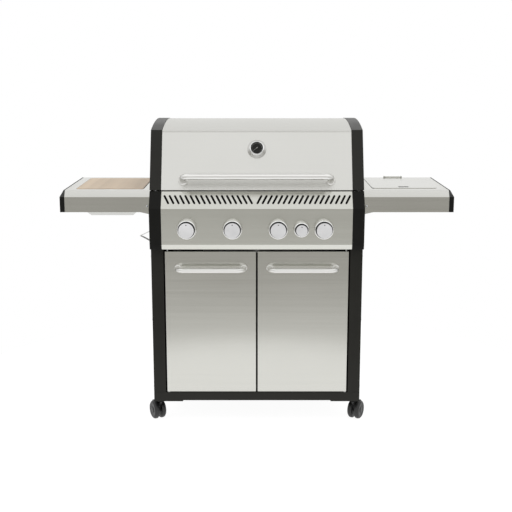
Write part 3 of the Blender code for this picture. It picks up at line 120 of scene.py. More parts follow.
def wired(
    tree: bpy.types.NodeTree, kind: str, inputs: dict[str | int, object], **settings: object
) -> bpy.types.Node:
    """A new node with its inputs linked or set.

    Args:
        tree: The node tree.
        kind: The node's type, as it goes on after ShaderNode.
        inputs: For an input, the socket that it is linked to or its value.
        **settings: The node's other settings.

    Returns:
        The node.
    """
    node = tree.nodes.new(f"ShaderNode{kind}")
    for name, value in settings.items():
        setattr(node, name, value)
    for name, value in inputs.items():
        if isinstance(value, Socket):
            tree.links.new(value, node.inputs[name])
        else:
            node.inputs[name].default_value = value
    return node


class NodeBoard:
    """The nodes of one material, wired by short calls."""

    def __init__(self, name: str) -> None:
        """Starts a material with a Principled shader.

        Args:
            name: The material's name.
        """
        self.material = bpy.data.materials.new(name)
        self.material.use_nodes = True
        self.tree = self.material.node_tree
        self.shader = self.tree.nodes["Principled BSDF"]
        self.coords = wired(self.tree, "TexCoord", {}).outputs["Object"]

    def set(self, **values: float | tuple) -> None:
        """Sets constants on the shader by socket name, with underscores for its spaces."""
        for name, value in values.items():
            self.shader.inputs[name.replace("_", " ")].default_value = value

    def wire(self, source: Socket, name: str) -> None:
        """Links a value to the shader's socket of this name."""
        self.tree.links.new(source, self.shader.inputs[name])

    def stretched(self, scale: Scale) -> Socket:
        """Object coordinates multiplied by a scale on each axis."""
        return wired(self.tree, "Mapping", {"Vector": self.coords, "Scale": scale}).outputs["Vector"]

    def noise(self, scale: Scale, detail: float = 3.0, rough: float = 0.6) -> Socket:
        """Noise of scale spots per metre on each axis, in detail octaves, the finer ones weighted by rough."""
        inputs = {"Vector": self.stretched(scale), "Scale": 1.0, "Detail": detail, "Roughness": rough}
        return wired(self.tree, "TexNoise", inputs).outputs["Fac"]

    def span(self, source: Socket, low: float, high: float, start: float = 0.3, end: float = 0.7) -> Socket:
        """A factor moved from the range between start and end to the range between low and high."""
        inputs = {"Value": source, "From Min": start, "From Max": end, "To Min": low, "To Max": high}
        return wired(self.tree, "MapRange", inputs).outputs["Result"]

    def sum(self, first: Socket, second: Socket) -> Socket:
        """Two values added."""
        return wired(self.tree, "Math", {0: first, 1: second}, operation="ADD").outputs[0]

    def tint(self, fac: Socket, low: Colour, high: Colour) -> Socket:
        """The colour between low and high that a factor from 0 to 1 gives."""
        return wired(self.tree, "Mix", {0: fac, 6: (*low, 1.0), 7: (*high, 1.0)}, data_type="RGBA").outputs[2]

    def bump(self, height: Socket, strength: float, distance: float) -> None:
        """Relief on the surface: its height factor, the share that shows, and its depth in metres."""
        inputs = {"Height": height, "Strength": strength, "Distance": distance}
        self.wire(wired(self.tree, "Bump", inputs).outputs["Normal"], "Normal")


@dataclass(frozen=True)
class Finish:
    """A surface finish.

    Attributes:
        name: The material's name.
        slot: The record's material slot; not used.
        colour: Its mean colour, linear.
        roughness: Its mean roughness.
    """

    name: str
    slot: str
    colour: Colour
    roughness: float

    def shade(self, scale: float) -> Colour:
        """The finish's colour times a factor."""
        return tuple(min(1.0, c * scale) for c in self.colour)

    def paint(self, board: NodeBoard) -> None:
        """Wires the finish. Each kind of finish has its own way.

        Args:
            board: The material's nodes.
        """
        raise NotImplementedError

    def material(self) -> bpy.types.Material:
        """The finish's material, made when it is first asked for.

        Returns:
            The material.
        """
        found = bpy.data.materials.get(self.name)
        if found:
            return found
        board = NodeBoard(self.name)
        self.paint(board)
        return board.material


@dataclass(frozen=True)
class Brushed(Finish):
    """Brushed stainless steel.

    Attributes:
        grain: The way that its lines run.
        stretch: How far a highlight is drawn out across the lines.
        streak: How much the tone changes from line to line.
    """

    grain: Grain = Grain.ALONG
    stretch: float = 0.55
    streak: float = 0.03

    def paint(self, board: NodeBoard) -> None:
        """Wires the steel's lines, its soft cloudiness and its stretched highlight.

        Args:
            board: The material's nodes.
        """
        way, axis = self.grain.value
        fine = board.noise(tuple(v * 9 if v > 1 else 4.0 for v in way), 2.0, 0.7)
        broad = board.noise(tuple(v * 0.8 if v > 1 else 0.7 for v in way), 3.0, 0.6)
        cloud = board.noise((2.6, 2.6, 2.6), 2.0, 0.5)
        lines = board.span(board.sum(fine, broad), 0.0, 1.0, 0.6, 1.4)
        board.wire(board.tint(lines, self.shade(1 - self.streak), self.shade(1 + self.streak)), "Base Color")
        rough = board.sum(
            board.span(lines, self.roughness - 0.03, self.roughness + 0.03, 0.0, 1.0),
            board.span(cloud, -0.02, 0.02),
        )
        board.wire(rough, "Roughness")
        board.set(Metallic=1.0, Anisotropic=self.stretch)
        tangent = wired(board.tree, "Tangent", {}, direction_type="RADIAL", axis=axis)
        board.wire(tangent.outputs["Tangent"], "Tangent")
        board.bump(fine, 0.10, 0.0001)


@dataclass(frozen=True)
class Coated(Finish):
    """Powder coat or moulded plastic with a fine texture.

    Attributes:
        grit: Size of the texture's dimples, per metre.
        depth: Depth of the dimples.
        metal: Share of metal flake.
        coat: Weight of a clear coat.
        shine: Specular level.
    """

    grit: float = 1400.0
    depth: float = 0.0001
    metal: float = 0.0
    coat: float = 0.0
    shine: float = 0.5

    def paint(self, board: NodeBoard) -> None:
        """Wires the texture, and dust that dulls it here and there.

        Args:
            board: The material's nodes.
        """
        dimples = board.noise((self.grit, self.grit, self.grit), 2.0, 0.5)
        dust = board.noise((7.0, 7.0, 7.0), 4.0, 0.6)
        board.wire(board.tint(board.span(dust, 0.0, 1.0), self.shade(0.86), self.shade(1.14)), "Base Color")
        rough = board.sum(
            board.span(dust, self.roughness - 0.05, self.roughness + 0.05), board.span(dimples, -0.02, 0.02)
        )
        board.wire(rough, "Roughness")
        board.set(Metallic=self.metal, Specular_IOR_Level=self.shine)
        board.set(Coat_Weight=self.coat, Coat_Roughness=0.08)
        board.bump(dimples, 0.25, self.depth)


@dataclass(frozen=True)
class Cast(Finish):
    """Cast iron: sandy, with patches of old oil."""

    def paint(self, board: NodeBoard) -> None:
        """Wires the sand texture and the oiled patches.

        Args:
            board: The material's nodes.
        """
        sand = board.noise((420.0, 420.0, 420.0), 4.0, 0.65)
        oil = board.noise((18.0, 18.0, 18.0), 3.0, 0.6)
        board.wire(board.tint(board.span(oil, 0.0, 1.0), self.shade(0.75), self.shade(1.35)), "Base Color")
        board.wire(board.span(oil, self.roughness - 0.12, self.roughness + 0.10), "Roughness")
        board.set(Metallic=0.25)
        board.bump(sand, 0.5, 0.0005)


@dataclass(frozen=True)
class Polished(Finish):
    """Plated or polished metal with faint wipe marks."""

    def paint(self, board: NodeBoard) -> None:
        """Wires the wipe marks in tone and roughness.

        Args:
            board: The material's nodes.
        """
        wipes = board.noise((22.0, 60.0, 60.0), 3.0, 0.6)
        board.wire(board.tint(board.span(wipes, 0.0, 1.0), self.shade(0.97), self.shade(1.02)), "Base Color")
        board.wire(board.span(wipes, self.roughness * 0.8, self.roughness * 1.2), "Roughness")
        board.set(Metallic=1.0)


@dataclass(frozen=True)
class Bamboo(Finish):
    """Glued bamboo strips with an oiled surface.

    Attributes:
        strip: Width of one strip.
    """

    strip: float = 0.021

    def paint(self, board: NodeBoard) -> None:
        """Wires the strips' own tints, their fibres and the knots.

        Args:
            board: The material's nodes.
        """
        across = board.stretched((1.0 / self.strip, 0.0, 0.0))
        strips = wired(board.tree, "VectorMath", {0: across}, operation="FLOOR")
        tints = wired(board.tree, "TexWhiteNoise", {"Vector": strips.outputs["Vector"]})
        fibres = board.noise((900.0, 9.0, 900.0), 4.0, 0.65)
        bands = board.noise((30.0, 2.0, 30.0), 2.0, 0.5)
        tone = board.sum(board.span(tints.outputs["Value"], 0.0, 0.5, 0.0, 1.0), board.span(fibres, 0.0, 0.3))
        tone = board.sum(tone, board.span(bands, -0.1, 0.2))
        board.wire(board.tint(tone, self.shade(0.86), self.shade(1.12)), "Base Color")
        board.wire(board.span(fibres, self.roughness - 0.06, self.roughness + 0.08), "Roughness")
        board.bump(fibres, 0.15, 0.0002)


STEEL = Brushed("skin_steel", "brushed_steel", (0.622, 0.620, 0.582), 0.16, stretch=0.25)
HOOD_STEEL = Brushed("hood_steel", "brushed_steel", (0.680, 0.678, 0.650), 0.38, stretch=0.45, streak=0.015)
PANEL_STEEL = Brushed("panel_steel", "brushed_steel", (0.650, 0.652, 0.606), 0.20, stretch=0.25)
TRAY_STEEL = Brushed("tray_steel", "bright_steel", (0.62, 0.62, 0.60), 0.30, streak=0.02)
HANDLE_STEEL = Brushed("handle_steel", "bright_steel", (0.82, 0.815, 0.795), 0.30, stretch=0.2, streak=0.015)
RING_STEEL = Brushed("ring_steel", "bright_steel", (0.90, 0.90, 0.89), 0.26, Grain.ROUND, 0.3, 0.01)
CHROME = Polished("chrome", "bright_steel", (0.80, 0.80, 0.80), 0.10)
GALVANISED = Polished("galvanised", "bright_steel", (0.55, 0.56, 0.57), 0.38)
BRASS = Polished("cast_brass", "brass", (0.66, 0.48, 0.22), 0.30)
KNOB_SILVER = Coated("silver_paint", "knob_silver", (0.70, 0.70, 0.71), 0.36, depth=0.00003, metal=0.15)
BLACK_COAT = Coated("black_coat", "black_paint", (0.013, 0.0125, 0.0100), 0.36, shine=0.22)
CAP_BLACK = Coated("cap_black", "black_paint", (0.0075, 0.0075, 0.0065), 0.48, shine=0.12)
BLACK_PLASTIC = Coated("moulded_plastic", "black_plastic", (0.011, 0.011, 0.011), 0.38, grit=900.0, shine=0.35)
TYRE = Coated("tyre", "black_plastic", (0.016, 0.016, 0.016), 0.48, grit=700.0)
DIAL_FACE = Coated("dial_face", "black_plastic", (0.012, 0.012, 0.011), 0.30, depth=0.00002, shine=0.15)
FAINT_MARK = Coated("faint_mark", "knob_silver", (0.22, 0.22, 0.21), 0.45, depth=0.00002)
IRON = Cast("cast_iron", "iron", (0.030, 0.029, 0.029), 0.62)
ENAMEL = Coated("enamel", "iron", (0.016, 0.016, 0.017), 0.30, grit=260.0, depth=0.0002, coat=0.3)
BOARD_WOOD = Bamboo("bamboo_strips", "bamboo", (0.60, 0.475, 0.345), 0.50)


# Shaping


@contextmanager
def bench(*pieces: Piece) -> Iterator[Piece]:
    """Puts pieces on the bench: they alone are selected, and the first is active.

    Args:
        *pieces: The pieces to work on.

    Yields:
        The first piece.
    """
    bpy.ops.object.select_all(action="DESELECT")
    for piece in pieces:
        piece.select_set(True)
    bpy.context.view_layer.objects.active = pieces[0]
    yield pieces[0]
    bpy.ops.object.select_all(action="DESELECT")


@contextmanager
def editing(piece: Piece) -> Iterator[None]:
    """Opens a piece for editing with all of it selected.

    Args:
        piece: The piece.

    Yields:
        Nothing.
    """
    with bench(piece):
        bpy.ops.object.mode_set(mode="EDIT")
        bpy.ops.mesh.select_all(action="SELECT")
        yield
        bpy.ops.object.mode_set(mode="OBJECT")


def modify(piece: Piece, kind: str, **settings: object) -> None:
    """Applies a modifier.

    Args:
        piece: The piece.
        kind: The modifier's type.
        **settings: Its settings.
    """
    modifier = piece.modifiers.new(kind.lower(), kind)
    for name, value in settings.items():
        setattr(modifier, name, value)
    with bench(piece):
        bpy.ops.object.modifier_apply(modifier=modifier.name)


def settle(piece: Piece) -> None:
    """Writes a piece's place, turn and size into its mesh."""
    with bench(piece):
        bpy.ops.object.transform_apply(location=True, rotation=True, scale=True)


def soften(piece: Piece, width: float, steps: int = 2, angle: float = 30.0) -> None:
    """Rounds a piece's sharp edges, then shades it smooth.

    Args:
        piece: The piece.
        width: Width of the rounding, none if 0.
        steps: Segments of the rounding.
        angle: Edges sharper than this are rounded, in degrees.
    """
    if width:
        limit = {"limit_method": "ANGLE", "angle_limit": math.radians(angle), "use_clamp_overlap": True}
        modify(piece, "BEVEL", width=width, segments=steps, **limit)
    with bench(piece):
        bpy.ops.object.shade_smooth_by_angle(angle=SMOOTH_ANGLE)
    modify(piece, "WEIGHTED_NORMAL", mode="FACE_AREA", weight=50, keep_sharp=True)


def outline(name: str, points: Sequence[Vector]) -> Piece:
    """A flat face with these corners.

    Args:
        name: The piece's name.
        points: Its corners in order, in one plane.

    Returns:
        The face.
    """
    bpy.ops.object.select_all(action="DESELECT")
    bpy.ops.mesh.primitive_circle_add(vertices=len(points), radius=1.0, fill_type="NGON", location=(0, 0, 0))
    piece = bpy.context.active_object
    piece.name = name
    for vertex, point in zip(piece.data.vertices, points):
        vertex.co = point
    return piece


def extruded(name: str, points: Sequence[Vector], way: Vector, bevel: float = 0.0) -> Piece:
    """A solid pushed out from an outline.

    Args:
        name: The piece's name.
        points: The outline's corners.
        way: Direction and length of the push.
        bevel: Width of its edge rounding.

    Returns:
        The piece.
    """
    piece = outline(name, points)
    with editing(piece):
        bpy.ops.mesh.extrude_region_move(TRANSFORM_OT_translate={"value": way})
        bpy.ops.mesh.select_all(action="SELECT")
        bpy.ops.mesh.normals_make_consistent(inside=False)
    soften(piece, bevel)
    return piece


def bar_across(name: str, profile: Sequence[Point], ends: Point, bevel: float = 0.0) -> Piece:
    """A (depth, z) profile pushed out along X from one end to the other, with rounded edges."""
    points = [at(ends[0], depth, z) for depth, z in profile]
    return extruded(name, points, Vector((ends[1] - ends[0], 0, 0)), bevel)


def slab(name: str, plan: Sequence[Point], heights: Point, bevel: float = 0.0) -> Piece:
    """An (x, depth) plan pushed up from the lower to the upper of two heights, with rounded edges."""
    points = [at(x, depth, heights[0]) for x, depth in plan]
    return extruded(name, points, Vector((0, 0, heights[1] - heights[0])), bevel)


def block(name: str, low: Vector, high: Vector, bevel: float) -> Piece:
    """A box with rounded edges between two corners.

    Args:
        name: The piece's name.
        low: Its lowest corner.
        high: Its highest corner.
        bevel: Width of its edge rounding.

    Returns:
        The piece.
    """
    bpy.ops.object.select_all(action="DESELECT")
    bpy.ops.mesh.primitive_cube_add(size=1.0, location=(low + high) / 2, scale=high - low)
    piece = bpy.context.active_object
    piece.name = name
    settle(piece)
    soften(piece, bevel)
    return piece


def lathed(
    name: str, profile: Sequence[Point], origin: Vector, axis: Vector, steps: int = 48, bevel: float = 0.0
) -> Piece:
    """A piece turned round an axis.

    Args:
        name: The piece's name.
        profile: (radius, height) corners, from one end to the other.
        origin: A point on the axis, at height 0.
        axis: The axis' direction.
        steps: Facets round it.
        bevel: Width of its edge rounding.

    Returns:
        The piece.
    """
    piece = outline(name, [Vector((radius, 0, height)) for radius, height in profile])
    closed = profile[0][0] > 0 and profile[-1][0] > 0
    with editing(piece):
        bpy.ops.mesh.delete(type="ONLY_FACE")
    if not closed:
        index = next(edge.index for edge in piece.data.edges if set(edge.vertices) == {0, len(profile) - 1})
        with editing(piece):
            bpy.ops.mesh.select_all(action="DESELECT")
            bpy.ops.mesh.select_mode(type="EDGE")
            bpy.ops.object.mode_set(mode="OBJECT")
            piece.data.edges[index].select = True
            bpy.ops.object.mode_set(mode="EDIT")
            bpy.ops.mesh.delete(type="EDGE")
            bpy.ops.mesh.select_mode(type="VERT")
    merge = {"use_merge_vertices": True, "merge_threshold": MERGE_DISTANCE}
    modify(piece, "SCREW", steps=steps, render_steps=steps, axis="Z", **merge)
    clean(piece)
    piece.matrix_world = upright_to(origin, axis)
    settle(piece)
    soften(piece, bevel)
    return piece


def upright_to(origin: Vector, axis: Vector) -> Matrix:
    """The move that puts an upright piece's foot at origin, and turns it to stand along axis."""
    return Matrix.Translation(origin) @ UP.rotation_difference(axis).to_matrix().to_4x4()


def clean(piece: Piece) -> None:
    """Merges a mesh's doubled points and turns its faces outwards.

    Args:
        piece: The piece.
    """
    with editing(piece):
        bpy.ops.mesh.remove_doubles(threshold=MERGE_DISTANCE)
        bpy.ops.mesh.normals_make_consistent(inside=False)


def rounded(corners: Sequence[Vector], radius: float, steps: int = 10) -> list[Vector]:
    """A path whose inner corners are bent to a radius.

    Args:
        corners: The path's corners.
        radius: The bends' radius.
        steps: Steps in a bend.

    Returns:
        The path's points.
    """
    path = [corners[0]]
    for before, corner, after in zip(corners, corners[1:], corners[2:]):
        back, ahead = (before - corner).normalized(), (after - corner).normalized()
        half = back.angle(ahead) / 2
        centre = corner + (back + ahead).normalized() * radius / math.sin(half)
        first = corner + back * radius / math.tan(half) - centre
        last = corner + ahead * radius / math.tan(half) - centre
        sweep = first.angle(last)
        for i in range(steps + 1):
            start, end = math.sin((1 - i / steps) * sweep), math.sin(i / steps * sweep)
            path.append(centre + (start * first + end * last) / math.sin(sweep))
    return [*path, corners[-1]]


def tube(name: str, path: Sequence[Vector], radius: float, sides: int = 6) -> Piece:
    """A round bar bent along a path.

    Args:
        name: The piece's name.
        path: The points of its centreline.
        radius: Its radius.
        sides: Half the count of facets round it, less two.

    Returns:
        The piece.
    """
    bpy.ops.object.select_all(action="DESELECT")
    bpy.ops.curve.primitive_bezier_curve_add(location=(0, 0, 0))
    piece = bpy.context.active_object
    piece.name = name
    piece.data.splines.clear()
    line = piece.data.splines.new("POLY")
    line.points.add(len(path) - 1)
    for point, place in zip(line.points, path):
        point.co = (*place, 1.0)
    piece.data.dimensions = "3D"
    piece.data.bevel_depth = radius
    piece.data.bevel_resolution = sides
    piece.data.use_fill_caps = True
    with bench(piece):
        bpy.ops.object.convert(target="MESH")
        piece = bpy.context.active_object
    clean(piece)
    soften(piece, 0.0)
    return piece


def copied(piece: Piece, name: str, move: Matrix) -> Piece:
    """A copy with its own mesh, moved.

    Args:
        piece: The piece to copy.
        name: The copy's name.
        move: Where it goes from the first piece's place.

    Returns:
        The copy.
    """
    with bench(piece):
        bpy.ops.object.duplicate(linked=False)
        copy = bpy.context.active_object
    copy.name = name
    copy.matrix_world = move @ copy.matrix_world
    settle(copy)
    if move.determinant() < 0:
        with editing(copy):
            bpy.ops.mesh.normals_make_consistent(inside=False)
    return copy


def shifted(x: float = 0.0, depth: float = 0.0, z: float = 0.0) -> Matrix:
    """The move to the right, backwards and upwards by these distances."""
    return Matrix.Translation((x, depth, z))


def one(name: str, pieces: Sequence[Piece]) -> Piece:
    """Pieces joined into one object.

    Args:
        name: The object's name.
        pieces: The pieces.

    Returns:
        The object.
    """
    with bench(*pieces) as first:
        bpy.ops.object.join()
    first.name = name
    return first


def mirrored(piece: Piece, name: str) -> Piece:
    """A copy on the grill's other side."""
    return copied(piece, name, MIRROR)


def repeated(name: str, piece: Piece, moves: Iterable[Matrix]) -> Piece:
    """Copies of a piece, joined into one object. The piece itself is used up.

    Args:
        name: The object's name.
        piece: The piece to copy.
        moves: Each copy's move from the piece's place.

    Returns:
        The object.
    """
    copies = [copied(piece, f"{piece.name}_copy", move) for move in moves]
    bpy.data.objects.remove(piece)
    return one(name, copies)


def carved(piece: Piece, cutter: Piece) -> Piece:
    """A piece with a cutter's shape taken out of it. The cutter is used up.

    Args:
        piece: The piece.
        cutter: The cutter.

    Returns:
        The piece.
    """
    modify(piece, "BOOLEAN", operation="DIFFERENCE", solver="EXACT", object=cutter)
    bpy.data.objects.remove(cutter)
    return piece


def dress(piece: Piece, finish: Finish, body: str, *nodes: str) -> Piece:
    """Gives a piece its finish, the body it moves with, and the plain nodes it stands for.

    Args:
        piece: The piece.
        finish: Its finish.
        body: The moving body.
        *nodes: The nodes it stands for.

    Returns:
        The piece.
    """
    piece.data.materials.clear()
    piece.data.materials.append(finish.material())
    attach(piece, body)
    if nodes:
        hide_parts(*nodes)
    log.info("%s: %s, on %s", piece.name, finish.name, body)
    return piece


def refined(node: str, finish: Finish, bevel: float = 0.0006, steps: int = 2) -> Piece:
    """A plain node made again with soft edges, in its finish and on its own body.

    Args:
        node: The node's name.
        finish: Its finish.
        bevel: Width of its edge rounding.
        steps: Segments of the rounding.

    Returns:
        The piece.
    """
    source = frame["nodes"][node]
    with bench(source):
        bpy.ops.object.duplicate(linked=False)
        piece = bpy.context.active_object
    body = source["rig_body"]
    piece.parent = None
    piece.matrix_world = Matrix.Identity(4)
    for key in list(piece.keys()):
        del piece[key]
    piece.name = f"{node}_finished"
    with editing(piece):
        bpy.ops.mesh.customdata_custom_splitnormals_clear()
        bpy.ops.mesh.remove_doubles(threshold=0.00002)
        bpy.ops.mesh.dissolve_limited(angle_limit=math.radians(1.0))
        bpy.ops.mesh.normals_make_consistent(inside=False)
    soften(piece, bevel, steps)
    return dress(piece, finish, body, node)


def offset(path: Sequence[Point], distance: float) -> list[Point]:
    """A path moved sideways to its left, mitred at its corners.

    Args:
        path: The path's points.
        distance: How far.

    Returns:
        The moved points.
    """
    points = [Vector(p) for p in path]
    steps = [after - before for before, after in zip(points, points[1:])]
    moved = []
    for i, point in enumerate(points):
        normals = [Vector((-step.y, step.x)).normalized() for step in steps[max(i - 1, 0) : i + 1]]
        mean = sum(normals, Vector((0, 0))).normalized()
        moved.append(tuple(point + mean * distance / mean.dot(normals[0])))
    return moved


def folded(path: Sequence[Point], thickness: float) -> list[Point]:
    """The closed outline of a sheet of this thickness, with the path on its right."""
    return [*path, *reversed(offset(path, thickness))]


def eased(path: Sequence[Point], radius: float, steps: int = 4) -> list[Point]:
    """A flat path whose corners are bent to a radius, in this many steps."""
    points = rounded([Vector((a, b, 0)) for a, b in path], radius, steps)
    return [(p.x, p.y) for p in points]


def rounded_plan(centre: Point, half: Point, radius: float, steps: int = 8) -> list[Point]:
    """A rectangle's outline with round corners.

    Args:
        centre: Its middle.
        half: Half of each side.
        radius: The corners' radius.
        steps: Steps in a corner.

    Returns:
        The outline.
    """
    plan = []
    for quarter, (sx, sy) in enumerate(((1, 1), (-1, 1), (-1, -1), (1, -1))):
        for i in range(steps + 1):
            turn = math.pi / 2 * (quarter + i / steps)
            x = centre[0] + sx * (half[0] - radius) + radius * math.cos(turn)
            plan.append((x, centre[1] + sy * (half[1] - radius) + radius * math.sin(turn)))
    return plan


# Cart


@dataclass(frozen=True)
class Cabinet:
    """The cart's black frame, its doors and what holds them.

    Attributes:
        column: Width of a front column.
        door_gap: Gap between a door and its column.
        door_split: Half of the gap between the doors.
        door_bottom: z of the doors' lower edge.
        door_top: z of their upper edge.
        door_thickness: Their thickness.
        door_sheet: Thickness of their front inside the hem.
        hem: Width of the hem round a door's back.
        pins: The ends of the two hinge pins, above the doors' lower edge.
        pin_inset: From a door's outer edge and front to its pins' axis.
        pin_radius: The pins' radius.
        handle_drop: The handles' distance below the doors' top.
        handle_inset: From the doors' edges to the handles' ends.
        handle_reach: How far the handles stand off.
        handle_radius: Their radius.
        handle_bend: Radius of their bends.
    """

    column: float = 0.045
    door_gap: float = 0.005
    door_split: float = 0.003
    door_bottom: float = 0.1255
    door_top: float = 0.6605
    door_thickness: float = 0.018
    door_sheet: float = 0.003
    hem: float = 0.014
    pins: tuple[Point, ...] = ((-0.009, 0.004), (0.531, 0.5455))
    pin_inset: float = 0.009
    pin_radius: float = 0.003
    handle_drop: float = 0.060
    handle_inset: float = 0.047
    handle_reach: float = 0.048
    handle_radius: float = 0.0085
    handle_bend: float = 0.024

    def build(self) -> None:
        """Makes the cabinet's pieces."""
        refined("base_tray", BLACK_COAT, 0.0010)
        refined("rear_panel", BLACK_COAT, 0.0005)
        for side in Side:
            refined(f"side_panel_{side.word}", BLACK_COAT, 0.0008)
            self.build_door(side)
            self.build_handle(side)
        self.build_bolts()

    def door_edges(self, side: Side) -> Point:
        """X of a door's inner and outer edge."""
        return side.value * self.door_split, side.value * (CABINET_HALF - self.column - self.door_gap)

    def build_door(self, side: Side) -> None:
        """Makes a door: a pressed front with a hem round its back, its pins and its catch plate.

        Args:
            side: The door's side.
        """
        body = f"{side.word}_door"
        inner, outer = self.door_edges(side)
        left, right = sorted((inner, outer))
        low, high = at(left, 0, self.door_bottom), at(right, self.door_thickness, self.door_top)
        door = block(f"door_front_{side.word}", low, high, 0.0)
        back = next(i for i, face in enumerate(door.data.polygons) if face.normal.y > 0.9)
        with editing(door):
            bpy.ops.mesh.select_mode(type="FACE")
            bpy.ops.mesh.select_all(action="DESELECT")
            bpy.ops.object.mode_set(mode="OBJECT")
            door.data.polygons[back].select = True
            bpy.ops.object.mode_set(mode="EDIT")
            bpy.ops.mesh.inset(thickness=self.hem)
            bpy.ops.mesh.extrude_region_move(
                TRANSFORM_OT_translate={"value": FORWARDS * (self.door_thickness - self.door_sheet)}
            )
            bpy.ops.mesh.select_mode(type="VERT")
        soften(door, 0.0014, 3)
        dress(door, STEEL, body, f"door_{side.word}")
        pins = []
        for foot, top in self.pins:
            start = at(outer - side.value * self.pin_inset, self.pin_inset, self.door_bottom + foot)
            profile = [(0, 0), (self.pin_radius, 0), (self.pin_radius, top - foot), (0, top - foot)]
            pins.append(lathed("door_pin", profile, start, UP, 20, 0.0004))
        dress(one(f"door_pins_{side.word}", pins), GALVANISED, body)
        profile = [(0, 0), (0.0045, 0), (0.0045, 0.0009), (0.003, 0.0012), (0, 0.0012)]
        start = at(outer - side.value * 0.0055, 0.004, self.door_bottom - 0.0014)
        washer = lathed(f"door_washer_{side.word}", profile, start, UP, 20, 0.0002)
        dress(washer, KNOB_SILVER, body)
        left, right = sorted(inner + side.value * reach for reach in (0.001, 0.013))
        low, high = at(left, 0.0178, self.door_bottom + 0.004), at(right, 0.0190, self.door_bottom + 0.026)
        dress(block(f"catch_plate_{side.word}", low, high, 0.0004), GALVANISED, body)

    def build_handle(self, side: Side) -> None:
        """Makes a door's bar handle, with a collar at each foot.

        Args:
            side: The door's side.
        """
        body = f"{side.word}_door"
        inner, outer = self.door_edges(side)
        near = inner + side.value * (self.handle_inset - self.door_split)
        far = outer - side.value * self.handle_inset
        z = self.door_top - self.handle_drop
        corners = [at(near, 0, z), at(near, -self.handle_reach, z)]
        corners += [at(far, -self.handle_reach, z), at(far, 0, z)]
        path = rounded(corners, self.handle_bend, 14)
        bar = tube(f"door_bar_{side.word}", path, self.handle_radius, 8)
        dress(bar, HANDLE_STEEL, body, f"door_handle_{side.word}")
        collar = [(0, 0), (0.0120, 0), (0.0120, 0.002), (0.0100, 0.0042), (0.0085, 0.0048), (0, 0.0048)]
        for number, x in enumerate((near, far)):
            foot = lathed(f"door_collar_{side.word}_{number}", collar, at(x, 0, z), FORWARDS, 32)
            dress(foot, HANDLE_STEEL, body)

    def build_bolts(self) -> None:
        """Makes the bolts on the cabinet's sides."""
        head = [(0, 0), (0.0055, 0), (0.0052, 0.0016), (0.0036, 0.0026), (0, 0.0029)]
        bolt = lathed("side_bolt", head, at(CABINET_HALF, 0, 0), ACROSS, 24)
        moves = [shifted(0, depth, z) for z in (0.140, 0.400, 0.640) for depth in (0.020, 0.460)]
        right = repeated("side_bolts_right", bolt, moves)
        for bolts in (mirrored(right, "side_bolts_left"), right):
            dress(bolts, GALVANISED, "cart")


